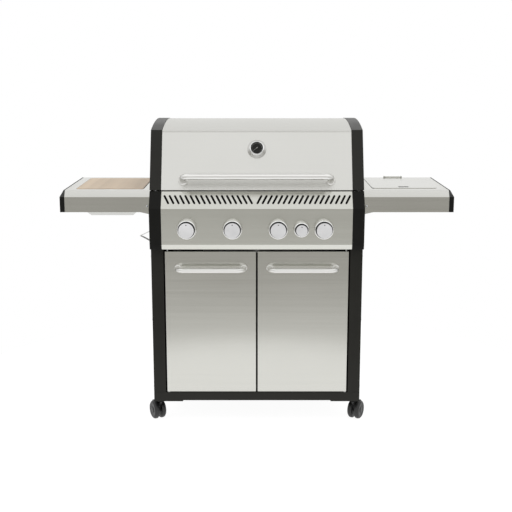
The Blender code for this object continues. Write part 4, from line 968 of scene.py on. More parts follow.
@dataclass(frozen=True)
class Casters:
    """The four twin-wheel casters.

    Attributes:
        radius: The wheels' radius.
        half: Half of a pair's width.
        gap: Half of the gap between the two wheels.
        trail: From the swivel's axis to the axle.
        from_side: Swivel axis from the cabinet's side.
        from_end: Swivel axis from its front or back.
        yaw: Turn of the wheels from straight ahead, in degrees.
        plate: z of the underside of the caster plate.
        guard_inset: From the wheels' outer faces to the guard's sides.
    """

    radius: float = 0.035
    half: float = 0.0235
    gap: float = 0.0055
    trail: float = 0.020
    from_side: float = 0.0155
    from_end: float = 0.041
    yaw: float = 27.0
    plate: float = 0.087
    guard_inset: float = 0.0100

    def build(self) -> None:
        """Makes one caster, and copies it to the four corners."""
        wheel, hubs, fender, stem = self.first()
        ends = (("front", self.from_end, 0.0), ("rear", CABINET_DEPTH - self.from_end, math.pi))
        for end, depth, turn in ends:
            for side in Side:
                name = f"{end}_{side.word}"
                yaw = Matrix.Rotation(turn - side.value * math.radians(self.yaw), 4, "Z")
                move = Matrix.Translation(at(side.value * (CABINET_HALF - self.from_side), depth, 0)) @ yaw
                wheels = copied(wheel, f"wheel_pair_{name}", move)
                dress(wheels, TYRE, f"wheels_{name}", f"caster_wheels_{name}")
                dress(copied(hubs, f"wheel_hubs_{name}", move), BLACK_PLASTIC, f"wheels_{name}")
                shell = copied(fender, f"caster_fender_{name}", move)
                dress(shell, BLACK_PLASTIC, f"caster_{name}", f"caster_fork_{name}")
                dress(copied(stem, f"caster_stem_{name}", move), GALVANISED, f"caster_{name}")
        for piece in (wheel, hubs, fender, stem):
            bpy.data.objects.remove(piece)

    def first(self) -> tuple[Piece, ...]:
        """Makes a caster's pieces round the swivel axis.

        Returns:
            The wheels, the hubs, the fender and the stem.
        """
        axle = Vector((0, self.trail, self.radius))
        radius, half, gap, foot = self.radius, self.half, self.gap, self.plate - 0.0014
        tread = [(0.004, half - 0.0035), (0.016, half - 0.0020), (0.024, half - 0.0002)]
        tread += [(radius - 0.006, half - 0.0006), (radius - 0.0015, half - 0.0042), (radius, half - 0.0080)]
        tread += [(radius, gap + 0.0030), (radius - 0.0015, gap + 0.0006), (radius - 0.004, gap), (0.004, gap)]
        wheel = lathed("wheel_right", tread, axle, ACROSS, 56)
        cap = [(0, half - 0.0036), (0.0125, half - 0.0028), (0.0115, half - 0.0012), (0.009, half - 0.0004)]
        hub = lathed("hub_right", [*cap, (0, half)], axle, ACROSS, 40)
        disc = 2 * radius + 0.0045
        turns = [math.pi * i / 12 for i in range(13)]
        web = [(self.trail + 0.011 * math.cos(turn), radius - 0.011 * math.sin(turn)) for turn in turns]
        web += [(self.trail - 0.040, disc + 0.002), (self.trail + 0.006, disc + 0.002)]
        body = extruded("fork_web", [Vector((-0.004, y, z)) for y, z in web], ACROSS * 0.008, 0.0008)
        dome = [(0, disc - 0.001), (0.011, disc - 0.001), (0.0145, disc + 0.002), (0.0155, disc + 0.006)]
        crown = lathed("fork_crown", [*dome, (0.0150, foot), (0, foot)], Vector(), UP, 40, 0.0005)
        inner, outer = radius + 0.0012, radius + 0.0032
        arc = [math.radians(a) for a in range(48, 150, 6)]
        path = [(self.trail + outer * math.cos(a), radius + outer * math.sin(a)) for a in arc]
        path += [(self.trail + inner * math.cos(a), radius + inner * math.sin(a)) for a in reversed(arc)]
        width = half - self.guard_inset
        guard = extruded("fork_guard", [Vector((-width, y, z)) for y, z in path], ACROSS * 2 * width, 0.0006)
        shank = [(0, foot), (0.005, foot), (0.005, self.plate + 0.012), (0.0042, self.plate + 0.013)]
        stem = lathed("caster_shank", [*shank, (0, self.plate + 0.013)], Vector(), UP, 24)
        wheels = one("wheel_pair", [wheel, mirrored(wheel, "wheel_left")])
        hubs = one("wheel_hubs", [hub, mirrored(hub, "hub_left")])
        return wheels, hubs, one("caster_fender", [body, crown, guard]), stem


# Control panel


@dataclass(frozen=True)
class ControlPanel:
    """The folded panel with its slots, bezels, knobs and end caps.

    Attributes:
        half: Half of the panel's width.
        sheet: Its thickness.
        top: z of its top.
        fold: z of the fold between its strip and its face.
        face: z of the foot of its face.
        lip: z of its lower edge.
        lip_front: Height of the lip's upright front.
        lip_lean: How far that front leans back.
        proud_top: How far the fold stands in front of the doors.
        proud_foot: The same at the foot of the face.
        pitch: Spacing of the slots.
        slot_width: Their width.
        slot_lean: How far a slot's top is from above its foot.
        slot_start: From the strip's top to the slots, along the strip.
        slot_length: Their length along the strip.
        left_start: x of the first slot that leans left.
        right_start: x of the first slot that leans right.
        knob_z: Height of the knobs' axis.
        small_step: From the third large knob to the small one.
        knob_radius: Radius of a large knob.
        small_radius: Radius of the small knob.
        knob_depth: A knob's depth.
        knob_gap: Gap behind a knob.
        ring_gap: Gap between a knob and its ring.
        ring_proud: How far the rings stand out.
        ring_foot: Width of a ring at its foot.
    """

    half: float = 0.3417
    sheet: float = 0.002
    top: float = 0.8815
    fold: float = 0.8245
    face: float = 0.6935
    lip: float = 0.6695
    lip_front: float = 0.018
    lip_lean: float = 0.005
    proud_top: float = 0.043
    proud_foot: float = 0.040
    pitch: float = 0.01865
    slot_width: float = 0.0084
    slot_lean: float = 0.0175
    slot_start: float = 0.0160
    slot_length: float = 0.0362
    left_start: float = -0.0161
    right_start: float = 0.0006
    knob_z: float = 0.752
    small_step: float = 0.083
    knob_radius: float = 0.0283
    small_radius: float = 0.0211
    knob_depth: float = 0.0385
    knob_gap: float = 0.0045
    ring_gap: float = 0.0017
    ring_proud: float = 0.026
    ring_foot: float = 0.006

    def build(self) -> None:
        """Makes the panel and all that is on it."""
        path = [(0.025, self.top), (0, self.top), (-self.proud_top, self.fold)]
        path += [(-self.proud_foot, self.face), (self.lip_lean - self.proud_foot, self.face - self.lip_front)]
        path += [(0, self.lip), (0.0295, self.lip)]
        outer = [path[0], *eased(path, 0.0025)[1:-1], path[-1]]
        panel = bar_across("panel_sheet", folded(outer, self.sheet), (-self.half, self.half))
        carved(panel, self.slots())
        soften(panel, 0.0)
        dress(panel, PANEL_STEEL, "cart", "control_panel")
        for side in Side:
            refined(f"panel_cap_{side.word}", CAP_BLACK, 0.0012, 3)
        self.build_controls()

    def slots(self) -> Piece:
        """Makes the cutter of all the slots.

        Returns:
            The cutter.
        """
        top = Vector((0, self.top))
        down = (Vector((-self.proud_top, self.fold)) - top).normalized()
        out = Vector((down.y, -down.x))
        middle = top + down * (self.slot_start + self.slot_length / 2)
        rise = self.slot_length / 2
        cutters = []
        for start, way in ((self.left_start, -1), (self.right_start, 1)):
            lean = way * self.slot_lean
            tilt = math.atan2(self.slot_lean, self.slot_length)
            half_width = self.slot_width * math.cos(tilt) / 2
            ends = []
            for end in (-1, 1):
                for i in range(7):
                    turn = math.pi * i / 6 - math.pi / 2
                    along = end * (rise / math.cos(tilt) - half_width + half_width * math.cos(turn))
                    cross = end * half_width * math.sin(turn)
                    across = along * math.sin(tilt) * way - cross * math.cos(tilt)
                    up = along * math.cos(tilt) + cross * math.sin(tilt) * way
                    ends.append((start + lean / 2 + across, up))
            points = []
            for x, up in ends:
                spot = middle - down * up - out * 0.006
                points.append(at(x, spot.x, spot.y))
            push = Vector((0, out.x * 0.012, out.y * 0.012))
            first = extruded(f"slot_{way}", points, push)
            room = self.half - 0.003 - self.slot_lean - way * start
            moves = [shifted(way * i * self.pitch) for i in range(int(room / self.pitch) + 1)]
            cutters.append(repeated(f"slots_{way}", first, moves))
        return one("slot_cutter", cutters)

    def build_controls(self) -> None:
        """Makes a large knob with its ring, copies it along the row, and adds the small one."""
        small = BURNER_XS[2] + self.small_step
        large_set, small_set = self.control(self.knob_radius), self.control(self.small_radius)
        for number, x in enumerate(sorted([*BURNER_XS, small]), start=1):
            pieces = small_set if x == small else large_set
            copies = [copied(piece, f"{piece.name}_{number}", shifted(x)) for piece in pieces]
            ring, gap_shade, knob, face, dot = copies
            dress(ring, RING_STEEL, "cart")
            # The dark lining in the ring's bore paints the shade in the gap round the knob.
            dress(gap_shade, BLACK_PLASTIC, "cart")
            # The knob's body is black so that its upward side paints the shaded arc above the face.
            dress(knob, BLACK_PLASTIC, f"control_{number}", f"knob_{number}")
            dress(face, KNOB_SILVER, f"control_{number}")
            dress(dot, BLACK_PLASTIC, f"control_{number}")
            refined(f"valve_stem_{number}", BRASS, 0.0004)
        for piece in (*large_set, *small_set):
            bpy.data.objects.remove(piece)

    def control(self, radius: float) -> tuple[Piece, ...]:
        """Makes one knob with its ring, in the middle of the panel.

        Args:
            radius: The knob's radius.

        Returns:
            The ring, a dark lining in its bore that paints the shade in the gap round the knob, the knob's grip in
            black that paints the shaded arc above its face, its face, and the dot on the face.
        """
        back = 0.001 - self.proud_foot
        seat = self.proud_top + back
        height = seat + self.ring_proud
        bore = radius + self.ring_gap
        foot = bore + self.ring_foot
        origin = at(0, back, self.knob_z)
        profile = [(bore, 0), (bore, height - 0.0010), (bore + 0.0008, height), (bore + 0.0020, height - 0.0002)]
        profile += [(bore + 0.0032, height - 0.0012), (bore + 0.0042, height - 0.0034)]
        profile += [(foot - 0.0012, height - 0.0080), (foot - 0.0006, seat + 0.0060), (foot, seat + 0.0012)]
        ring = lathed("knob_ring", [*profile, (foot, 0), profile[0]], origin, FORWARDS, 72)
        # A dark lining inside the ring's bore: painted shade in the gap between ring and knob.
        profile = [(bore - 0.0012, seat + 0.001), (bore + 0.0002, seat + 0.001), (bore + 0.0002, height - 0.004)]
        profile += [(bore - 0.0004, height - 0.003), (bore - 0.0012, height - 0.005), profile[0]]
        gap_shade = lathed("ring_trim", profile, origin, FORWARDS, 64)
        depth = self.knob_depth
        origin = at(0, -self.proud_top - self.knob_gap, self.knob_z)
        # The knob's body, black so that its upward side shows as a painted shaded arc above the face.
        profile = [(0, 0.020), (0.0042, 0.020), (0.0042, 0.0), (radius - 0.0006, 0.0), (radius, 0.0006)]
        profile += [(radius - 0.0002, depth - 0.0028), (radius - 0.0010, depth - 0.0020), (0, depth - 0.0020)]
        knob = lathed("knob_body", profile, origin, FORWARDS, 72)
        profile = [(0, depth - 0.0024), (radius - 0.0016, depth - 0.0024), (radius - 0.0008, depth - 0.0018)]
        profile += [(radius - 0.0014, depth - 0.0006), (radius - 0.0030, depth)]
        profile += [(radius - 0.0075, depth - 0.0002), (0, depth - 0.0005)]
        face = lathed("knob_face", profile, origin, FORWARDS, 72)
        profile = [(0, depth - 0.0008), (0.0018, depth - 0.0008), (0.0018, depth + 0.0001)]
        profile += [(0.0014, depth + 0.0003), (0, depth + 0.0003)]
        dot = lathed("knob_dot", profile, origin + UP * (radius - 0.0075), FORWARDS, 20)
        return ring, gap_shade, knob, face, dot


# Firebox


@dataclass(frozen=True)
class Cooking:
    """The firebox and what it holds.

    Attributes:
        half: Half of the firebox's width.
        front: Its front's depth.
        back: Its back's depth.
        rim: z of its flange.
        burner_z: Height of the burners' axis.
        burner_radius: Their radius.
        rack_rise: Height of the warming rack above the flange.
        rack_depth: The rack's depth.
        rack_back: Depth of the rack's rear edge.
        rods: Count of its long rods.
        wire: Radius of the rack's wire.
        port_pitch: Spacing of the flame ports along a burner.
        ports: Count of them on each side of it.
    """

    half: float = 0.345
    front: float = 0.045
    back: float = 0.455
    rim: float = 0.8715
    burner_z: float = 0.752
    burner_radius: float = 0.016
    rack_rise: float = 0.117
    rack_depth: float = 0.130
    rack_back: float = 0.430
    rods: int = 7
    wire: float = 0.0025
    port_pitch: float = 0.012
    ports: int = 27

    def build(self) -> None:
        """Makes the firebox, grates, tamers, burners, rack, manifold and grease tray."""
        refined("firebox", ENAMEL, 0.0008)
        refined("gas_manifold", BRASS, 0.0005)
        refined("grease_tray", TRAY_STEEL, 0.0006)
        for side in Side:
            refined(f"grate_{side.word}", IRON, 0.0018, 3)
        self.build_burners()
        self.build_rack()

    def build_burners(self) -> None:
        """Makes a burner tube with a row of ports on each side, as dark discs that paint the shade in the port
        holes, and copies it.
        """
        start, end = self.front - 0.020, self.back - 0.009
        length, radius = end - start, self.burner_radius
        profile = [(0, 0.014), (0.0073, 0.014), (0.0075, 0.001), (0.009, 0), (0.009, 0.028), (0.0125, 0.033)]
        profile += [(0.0155, 0.042), (radius, 0.046), (radius, length - 0.006), (0.0150, length - 0.002)]
        profile += [(0.012, length), (0, length)]
        first = lathed("burner_tube", profile, at(0, start, self.burner_z), BACKWARDS, 40)
        # Each port is a small dark disc on the tube: painted shade of the port hole.
        profile = [(0, 0), (0.0017, 0), (0.0017, 0.0007), (0, 0.0008)]
        way = Vector((1, 0, 0.35)).normalized()
        spot = at(0, start + 0.065, self.burner_z) + way * (radius - 0.0002)
        port = lathed("burner_port", profile, spot, way, 10)
        right = repeated("ports_right", port, [shifted(0, self.port_pitch * i) for i in range(self.ports)])
        ports = one("burner_ports", [right, mirrored(right, "ports_left")])
        for number, x in enumerate(BURNER_XS, start=1):
            dress(copied(first, f"burner_tube_{number}", shifted(x)), TRAY_STEEL, "cart", f"burner_{number}")
            # Dark cast-iron colour on the port discs paints the shade inside the holes.
            dress(copied(ports, f"burner_ports_{number}", shifted(x)), IRON, "cart")
            refined(f"flame_tamer_{number}", ENAMEL, 0.0005)
        for piece in (first, ports):
            bpy.data.objects.remove(piece)

    def build_rack(self) -> None:
        """Makes the warming rack from wire: long rods, cross rods and two legs."""
        half, z = self.half + 0.007, self.rim + self.rack_rise - self.wire
        back, front = self.rack_back, self.rack_back - self.rack_depth
        rod = tube("rack_rod", [at(-half, front + 0.003, z), at(half, front + 0.003, z)], self.wire, 4)
        step = (back - front - 0.006) / (self.rods - 1)
        rods = repeated("rack_rods", rod, [shifted(0, step * i) for i in range(self.rods)])
        low = z - 0.0005
        cross = tube("rack_cross", [at(-half, front + 0.001, low), at(-half, back - 0.001, low)], self.wire, 4)
        crosses = repeated("rack_crosses", cross, [shifted(half * i) for i in range(3)])
        dress(one("rack_wires", [rods, crosses]), CHROME, "cart", "warming_rack")
        foot = self.rim + 0.0008
        corners = [at(-half, front + 0.030, z), at(-half, front + 0.030, foot)]
        corners += [at(-half, back - 0.030, foot), at(-half, back - 0.030, z)]
        path = rounded([corner + UP * self.wire for corner in corners], 0.012, 6)
        leg = tube("rack_leg", path, self.wire, 4)
        dress(repeated("rack_legs", leg, [shifted(), shifted(2 * half)]), CHROME, "cart")


# Hood


@dataclass(frozen=True)
class Hood:
    """The hood with its end caps, handle and thermometer.

    Attributes:
        cap_width: Width of an end cap.
        foot: z of the hood's lower edge.
        face: Height of its leaning face.
        lean: How far the face leans back.
        roof: Radius of its roof.
        apex: From the cabinet's back to the roof's highest line.
        bulge: How far its back bulges out.
        shoulder: Size of its rear shoulder.
        sheet: Its thickness.
        cap_proud: How far the caps stand out of the shell.
        handle_half: Half of the handle's length.
        handle_rise: Height of the handle's feet above the hood's foot.
        handle_reach: How far it stands off the face.
        handle_radius: Its radius.
        handle_bend: Radius of its bends.
        dial_rise: Height of the thermometer above the hood's foot.
        seam_drop: How far the pressed line lies below the crease.
        seam_width: Width of that line.
        seam_depth: Its depth.
    """

    cap_width: float = 0.041
    foot: float = 0.8855
    face: float = 0.207
    lean: float = 0.0885
    roof: float = 1.185
    apex: float = 0.140
    bulge: float = 0.0195
    shoulder: float = 0.070
    sheet: float = 0.002
    cap_proud: float = 0.0015
    handle_half: float = 0.2655
    handle_rise: float = 0.0326
    handle_reach: float = 0.052
    handle_radius: float = 0.0125
    handle_bend: float = 0.030
    dial_rise: float = 0.141
    seam_drop: float = 0.0050
    seam_width: float = 0.0030
    seam_depth: float = 0.0014

    @property
    def normal(self) -> Vector:
        """The (depth, z) direction straight off the leaning face."""
        way = Vector((self.lean, self.face)).normalized()
        return Vector((-way.y, way.x))

    @property
    def out(self) -> Vector:
        """The same direction in the shared frame."""
        return Vector((0, self.normal.x, self.normal.y))

    def path(self) -> list[Point]:
        """The hood's outer surface.

        Returns:
            (depth, z) from its front foot over the roof to its back foot.
        """
        back = CABINET_DEPTH - 0.004
        apex = CABINET_DEPTH - self.apex
        crease = self.foot + self.face
        drop = self.roof - math.sqrt(self.roof**2 - (apex - self.lean) ** 2)

        def roof(depth: float) -> float:
            """Height of the roof's arc at this depth."""
            return crease + drop - self.roof + math.sqrt(self.roof**2 - (depth - apex) ** 2)

        corner = Vector((back + self.bulge, roof(back + self.bulge)))
        last = corner.x - self.shoulder
        path = [(0.0, self.foot), (self.lean, crease)]
        for i in range(1, 17):
            depth = self.lean + (last - self.lean) * i / 16
            path.append((depth, roof(depth)))
        first, end = Vector(path[-1]), Vector((corner.x, corner.y - self.shoulder))
        for i in range(1, 13):
            t = i / 12
            path.append(tuple((1 - t) ** 2 * first + 2 * t * (1 - t) * corner + t**2 * end))
        path.append((back, self.foot))
        return path

    def on_face(self, rise: float, off: float = 0.0) -> Point:
        """Depth and z of the place on the leaning face that is rise above its foot and off the face by off."""
        spot = Vector((self.lean * rise / self.face, self.foot + rise)) + self.normal * off
        return spot.x, spot.y

    def build(self) -> None:
        """Makes the hood."""
        path = self.path()
        crease = eased([path[0], path[1], path[2]], 0.004, 3)
        seam = [(0.5, 0.0), (0.1, self.seam_depth), (-0.1, self.seam_depth), (-0.5, 0.0)]
        groove = [self.on_face(self.face - self.seam_drop - self.seam_width * a, -b) for a, b in seam]
        smooth = [crease[0], *groove, *crease[1:-1], *path[2:]]
        half = CABINET_HALF - self.cap_width - 0.0003
        shell = bar_across("hood_shell", folded(smooth, -self.sheet), (-half, half), 0.0)
        soften(shell, 0.0006, 2, 60.0)
        dress(shell, HOOD_STEEL, "lid", "lid_shell")
        self.build_caps(path)
        self.build_handle()
        Thermometer().build(at(0, *self.on_face(self.dial_rise)), self.out)

    def build_caps(self, path: Sequence[Point]) -> None:
        """Makes the right cap as a hollow casting with its pin, and mirrors it.

        Args:
            path: The hood's outer surface.
        """
        outer = offset(path, self.cap_proud)
        outer[0], outer[-1] = (outer[0][0], self.foot), (outer[-1][0], self.foot)
        inner = offset(path, self.cap_proud - 0.0025)
        inner[0] = (inner[0][0] - 0.004, self.foot - 0.010)
        inner[-1] = (inner[-1][0] - 0.001, self.foot - 0.010)
        start, end = CABINET_HALF - self.cap_width, CABINET_HALF
        cap = bar_across("hood_cap_right", outer, (start, end))
        carved(cap, bar_across("cap_hollow", inner, (start - 0.010, end - 0.0025)))
        soften(cap, 0.0016, 3, 40.0)
        profile = [(0, 0), (0.0035, 0), (0.004, 0.0005), (0.004, 0.023), (0, 0.023)]
        spot = at(end - 0.0245, CABINET_DEPTH - 0.018, self.foot + 0.015)
        pin = lathed("hood_pin_right", profile, spot, ACROSS, 24)
        left = ("left", mirrored(cap, "hood_cap_left"), mirrored(pin, "hood_pin_left"))
        for name, piece, metal in (left, ("right", cap, pin)):
            dress(piece, BLACK_COAT, "lid", f"lid_cap_{name}")
            dress(metal, GALVANISED, "lid")

    def build_handle(self) -> None:
        """Makes the bar handle, with a collar at each foot."""
        corners = []
        for x, off in ((-1, 0), (-1, self.handle_reach), (1, self.handle_reach), (1, 0)):
            corners.append(at(x * self.handle_half, *self.on_face(self.handle_rise, off)))
        bar = tube("hood_bar", rounded(corners, self.handle_bend, 16), self.handle_radius, 10)
        dress(bar, HANDLE_STEEL, "lid", "lid_handle")
        collar = [(0, 0), (0.0165, 0), (0.0165, 0.0025), (0.0145, 0.0048), (0.0128, 0.0056), (0, 0.0056)]
        for number, x in enumerate((-1, 1)):
            spot = at(x * self.handle_half, *self.on_face(self.handle_rise))
            dress(lathed(f"hood_collar_{number}", collar, spot, self.out, 40), HANDLE_STEEL, "lid")


@dataclass(frozen=True)
class Thermometer:
    """The dial thermometer.

    Attributes:
        foot: Radius of its flange.
        rim: Radius of its rim.
        dial: Radius of its dial.
        height: Its height off the hood.
        marks: Count of marks round the dial.
        sweep: Angle that the marks cover, in degrees.
        reading: Turn of the needle from straight up, in degrees.
    """

    foot: float = 0.0345
    rim: float = 0.028
    dial: float = 0.0215
    height: float = 0.018
    marks: int = 19
    sweep: float = 270.0
    reading: float = 128.0

    def build(self, origin: Vector, way: Vector) -> None:
        """Makes the thermometer on the hood's face.

        Args:
            origin: The middle of its foot.
            way: Straight off the face.
        """
        top = self.height
        rim, dial = self.rim, self.dial
        shape = [(0, -0.045), (0.0028, -0.0445), (0.003, -0.044), (0.003, 0.0003), (self.foot - 0.0004, 0.0003)]
        shape += [(self.foot, 0.0008), (self.foot - 0.0004, 0.0024), (self.foot - 0.0014, 0.0036)]
        shape += [(rim + 0.0008, top - 0.0062), (rim - 0.0004, top - 0.0038), (rim - 0.0020, top - 0.0014)]
        shape += [(rim - 0.0036, top - 0.0002), (dial + 0.0016, top), (dial + 0.0008, top - 0.0006)]
        shape += [(dial + 0.0004, top - 0.0030), (0, top - 0.0030)]
        dress(lathed("dial_case", shape, origin, way, 80), CHROME, "lid", "thermometer")
        face = [(0, top - 0.0032), (dial + 0.0003, top - 0.0032), (dial + 0.0003, top - 0.0027)]
        face += [(dial - 0.0006, top - 0.0022), (0, top - 0.0021)]
        dress(lathed("dial_disc", face, origin, way, 64), DIAL_FACE, "lid")
        base = upright_to(origin, way)
        low = Vector((-0.00045, dial - 0.0050, top - 0.0022))
        high = Vector((0.00045, dial - 0.0016, top - 0.0019))
        turns = [math.radians(self.sweep * (0.5 - i / (self.marks - 1))) for i in range(self.marks)]
        moves = [base @ Matrix.Rotation(turn, 4, "Z") for turn in turns]
        dress(repeated("dial_marks", block("dial_mark", low, high, 0.0001), moves), FAINT_MARK, "lid")
        tip = [(-0.0009, -0.005), (0.0009, -0.005), (0.0002, 0.0152), (-0.0002, 0.0152)]
        needle = extruded("dial_needle", [Vector((x, y, top - 0.0020)) for x, y in tip], UP * 0.0005)
        profile = [(0, top - 0.0021), (0.0022, top - 0.0021), (0.0020, top - 0.0010), (0, top - 0.0008)]
        flat = one("dial_pointer_flat", [needle, lathed("dial_hub", profile, Vector(), UP, 24)])
        turn = base @ Matrix.Rotation(math.radians(self.reading), 4, "Z")
        dress(repeated("dial_pointer", flat, [turn]), FAINT_MARK, "lid")


# Side shelves


@dataclass(frozen=True)
class Shelves:
    """The two shelves, the board with its tray, and the side burner with its lid.

    Attributes:
        top: z of the shelves' top.
        board_centre: The board's middle, from the cabinet's side, and its depth.
        board_half: Half of its sides.
        board_thickness: Its thickness.
        board_proud: How far it stands above the shelf.
        notch: Width and depth of its finger notch.
        burner_centre: The side burner's middle, from the cabinet's side, and its depth.
        flames: Count of flame ports round the side burner.
        cup_forward: From that middle to the finger cup in the lid, a black block whose colour paints the shade in
            the lid's finger slot.
        cup_half: Half of the finger cup's width and depth.
        cup_heights: Its lower and upper edge, from the shelves' top.
    """

    top: float = 0.8755
    board_centre: Point = (0.159, 0.2675)
    board_half: Point = (0.124, 0.1595)
    board_thickness: float = 0.015
    board_proud: float = 0.0015
    notch: Point = (0.031, 0.006)
    burner_centre: Point = (0.165, 0.2825)
    flames: int = 28
    cup_forward: float = 0.1235
    cup_half: Point = (0.0185, 0.0068)
    cup_heights: Point = (-0.0050, 0.0022)

    def build(self) -> None:
        """Makes the shelves and what they carry."""
        for side in Side:
            refined(f"shelf_{side.word}", STEEL, 0.0004)
            refined(f"shelf_cap_{side.word}", CAP_BLACK, 0.0014, 3)
        refined("board_tray", TRAY_STEEL, 0.0006)
        refined("burner_pan", TRAY_STEEL, 0.0006)
        refined("bottle_opener", CHROME, 0.0006)
        refined("side_burner_lid", STEEL, 0.0004)
        refined("pan_support", IRON, 0.0014, 3)
        self.build_board()
        self.build_grip()
        self.build_side_burner()
        self.build_bolts()

    def build_board(self) -> None:
        """Makes the bamboo board with its finger notch."""
        x, depth = -(CABINET_HALF + self.board_centre[0]), self.board_centre[1]
        front, wide = depth - self.board_half[1], self.notch[0] / 2
        plan = rounded_plan((x, depth), self.board_half, 0.008)
        notch = [(x - wide - 0.003, front)]
        notch += [(x - wide, front + self.notch[1] - 0.002), (x - wide + 0.003, front + self.notch[1])]
        notch += [(2 * x - a, b) for a, b in reversed(notch)]
        split = max(i for i, (a, b) in enumerate(plan) if a < x and b < depth) + 1
        plan = plan[:split] + notch + plan[split:]
        high = self.top + self.board_proud
        board = slab("board_wood", plan, (high - self.board_thickness, high), 0.0014)
        dress(board, BOARD_WOOD, "board", "cutting_board")

    def build_grip(self) -> None:
        """Makes the finger cup under the side burner lid's finger slot: a raised grip in black that paints the
        slot's shade.
        """
        x, depth = CABINET_HALF + self.burner_centre[0], self.burner_centre[1] - self.cup_forward
        (wide, deep), (foot, brim) = self.cup_half, self.cup_heights
        low, high = at(x - wide, depth - deep, self.top + foot), at(x + wide, depth + deep, self.top + brim)
        # The black block paints the shade in the lid's finger slot, and its top stands as a raised grip.
        dress(block("finger_cup", low, high, 0.0008), BLACK_PLASTIC, "burner_cover")

    def build_side_burner(self) -> None:
        """Makes the side burner: a brass cup with flame ports under an iron cap, the ports as dark blocks that
        paint the shade in their slots.
        """
        middle = at(CABINET_HALF + self.burner_centre[0], self.burner_centre[1], 0)
        floor = self.top - 0.0023 - 0.060
        neck = floor - 0.0102
        cup = [(0, neck), (0.009, neck), (0.009, floor + 0.006), (0.030, floor + 0.0100), (0.0335, floor + 0.0125)]
        cup += [(0.0340, floor + 0.0190), (0.0325, floor + 0.0205), (0, floor + 0.0205)]
        dress(lathed("burner_cup", cup, middle, UP, 64), BRASS, "cart", "side_burner")
        cap = [(0, floor + 0.0203), (0.0335, floor + 0.0203), (0.0350, floor + 0.0218), (0.0350, floor + 0.0240)]
        cap += [(0.0330, floor + 0.0268), (0.0280, floor + 0.0280), (0, floor + 0.0288)]
        dress(lathed("burner_cap", cap, middle, UP, 64), IRON, "cart")
        # Dark blocks round the cup's rim: painted shade in the flame port slots.
        low, high = Vector((0.0325, -0.0009, floor + 0.0140)), Vector((0.0344, 0.0009, floor + 0.0185))
        turns = [Matrix.Rotation(2 * math.pi * i / self.flames, 4, "Z") for i in range(self.flames)]
        moves = [Matrix.Translation(middle) @ turn for turn in turns]
        dress(repeated("flame_ports", block("flame_port", low, high, 0.0002), moves), IRON, "cart")

    def build_bolts(self) -> None:
        """Makes the small bolts where the shelves meet the cabinet."""
        head = [(0, 0), (0.0040, 0), (0.0038, 0.0012), (0.0026, 0.0020), (0, 0.0022)]
        spot = at(CABINET_HALF + 0.010, 0.0, self.top - 0.048)
        right = lathed("shelf_bolt_right", head, spot, FORWARDS, 24)
        for bolt in (mirrored(right, "shelf_bolt_left"), right):
            dress(bolt, GALVANISED, "cart")


# Studio


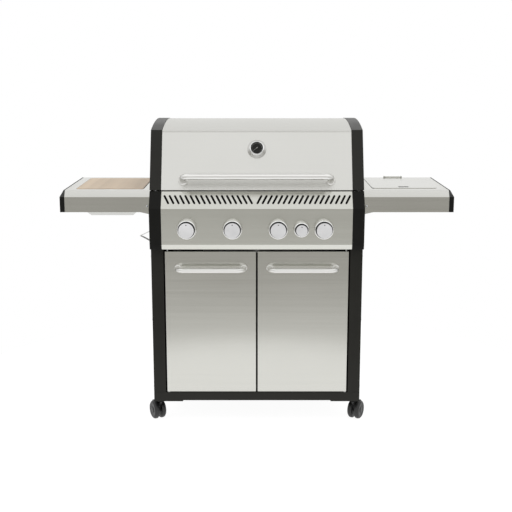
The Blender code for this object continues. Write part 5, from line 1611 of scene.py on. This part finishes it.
@dataclass(frozen=True)
class Studio:
    """The white studio: floor, surroundings, lamp and camera.

    Attributes:
        floor_radius: Radius of the white floor.
        floor_glow: Its own light.
        lens: The camera's focal length in millimetres.
        tilt: The camera's tilt from straight down, in degrees.
        distance: From the doors to the camera.
        height: The camera's height.
        aside: How far it stands to the right of the middle.
        shadow_warmth: How much warmer the dim part of the surroundings is.
        sky: The surroundings' brightness in front, at each height in degrees.
        sky_back: Their colour behind.
        sky_strength: Strength of all of the surroundings.
        sky_turn: Half of the band where front changes to back.
        lamp_distance: From the doors to the soft lamp.
        lamp_height: Its height.
        lamp_tilt: Its tilt towards the grill, in degrees.
        lamp_power: Its power in watts.
        lamp_sides: Its width and depth.
    """

    floor_radius: float = 1.35
    floor_glow: float = 0.94
    lens: float = 66.1
    tilt: float = 78.3
    distance: float = 3.349
    height: float = 1.338
    aside: float = -0.003
    shadow_warmth: float = 0.16
    sky: tuple[Point, ...] = (
        *((-90, 0.92), (-20, 0.88), (-18, 0.84), (-15.6, 0.68), (-13.6, 0.42), (-11, 0.40), (-5, 0.42)),
        *((9, 0.50), (17, 0.98), (40, 1.08), (70, 0.92), (77, 0.45), (90, 0.30)),
    )
    sky_back: Colour = (0.88, 0.88, 0.875)
    sky_strength: float = 1.08
    sky_turn: float = 0.12
    lamp_distance: float = 1.9
    lamp_height: float = 3.1
    lamp_tilt: float = 33.0
    lamp_power: float = 14.0
    lamp_sides: Point = (2.6, 1.4)

    def build(self) -> None:
        """Makes the studio."""
        self.build_floor()
        self.build_world()
        self.build_lamp()
        self.build_camera()
        bpy.context.scene.view_settings.view_transform = "Standard"

    def build_floor(self) -> None:
        """Makes the white floor."""
        bpy.ops.object.select_all(action="DESELECT")
        bpy.ops.mesh.primitive_circle_add(
            vertices=96, radius=self.floor_radius, fill_type="NGON", location=(0, 0, -0.0005)
        )
        floor = bpy.context.active_object
        floor.name = "studio_floor"
        settle(floor)
        board = NodeBoard("studio_white")
        board.set(Roughness=0.9, Emission_Color=(1, 1, 1, 1), Emission_Strength=self.floor_glow)
        grain = board.noise((40.0, 40.0, 40.0))
        board.wire(board.tint(grain, (0.14, 0.14, 0.14), (0.16, 0.16, 0.16)), "Base Color")
        floor.data.materials.append(board.material)

    def build_world(self) -> None:
        """Makes the surroundings: white behind, and graded by height in front."""
        world = bpy.data.worlds.new("studio")
        bpy.context.scene.world = world
        world.use_nodes = True
        tree = world.node_tree
        axes = wired(tree, "SeparateXYZ", {0: wired(tree, "TexCoord", {}).outputs["Generated"]}).outputs
        height = wired(tree, "MapRange", {"Value": axes["Z"], "From Min": -1.0})
        ramp = wired(tree, "ValToRGB", {"Fac": height.outputs["Result"]})
        for i, (degrees, value) in enumerate(self.sky):
            place = (math.sin(math.radians(degrees)) + 1) / 2
            stop = ramp.color_ramp.elements[i] if i < 2 else ramp.color_ramp.elements.new(place)
            stop.position = place
            warm = 1.0 - self.shadow_warmth * max(0.0, 0.9 - value)
            stop.color = (value, value * (3 + warm) / 4, value * warm, 1.0)
        band = {"Value": axes["Y"], "From Min": -self.sky_turn, "From Max": self.sky_turn}
        turn = wired(tree, "MapRange", band)
        inputs = {0: turn.outputs["Result"], 6: ramp.outputs["Color"], 7: (*self.sky_back, 1.0)}
        around = wired(tree, "Mix", inputs, data_type="RGBA")
        glow = tree.nodes["Background"]
        glow.inputs["Strength"].default_value = self.sky_strength
        tree.links.new(around.outputs[2], glow.inputs["Color"])
        white = wired(tree, "Background", {"Color": (1, 1, 1, 1)})
        seen = wired(tree, "LightPath", {}).outputs["Is Camera Ray"]
        pick = wired(tree, "MixShader", {0: seen, 1: glow.outputs[0], 2: white.outputs[0]})
        tree.links.new(pick.outputs[0], tree.nodes["World Output"].inputs["Surface"])

    def build_lamp(self) -> None:
        """Makes the large soft lamp above the front."""
        spot = (0, FRONT_Y - self.lamp_distance, self.lamp_height)
        bpy.ops.object.light_add(type="AREA", location=spot, rotation=(math.radians(self.lamp_tilt), 0, 0))
        lamp = bpy.context.active_object
        lamp.name = "soft_lamp"
        lamp.data.shape = "RECTANGLE"
        lamp.data.size, lamp.data.size_y = self.lamp_sides
        lamp.data.energy = self.lamp_power
        lamp.visible_glossy = False

    def build_camera(self) -> None:
        """Makes the camera in front of the grill, looking slightly down."""
        spot = (self.aside, FRONT_Y - self.distance, self.height)
        bpy.ops.object.camera_add(location=spot, rotation=(math.radians(self.tilt), 0, 0))
        camera = bpy.context.active_object
        camera.data.lens = self.lens
        camera.data.sensor_width = 36
        camera.data.clip_start = 0.05
        bpy.context.scene.camera = camera


def main() -> None:
    """Builds the grill's finished look, then the studio."""
    logging.basicConfig(level=logging.INFO)
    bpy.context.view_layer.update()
    for part in (Cabinet(), Casters(), ControlPanel(), Cooking(), Hood(), Shelves()):
        part.build()
        log.info("%s built", type(part).__name__)
    Studio().build()


if __name__ == "__main__":
    main()
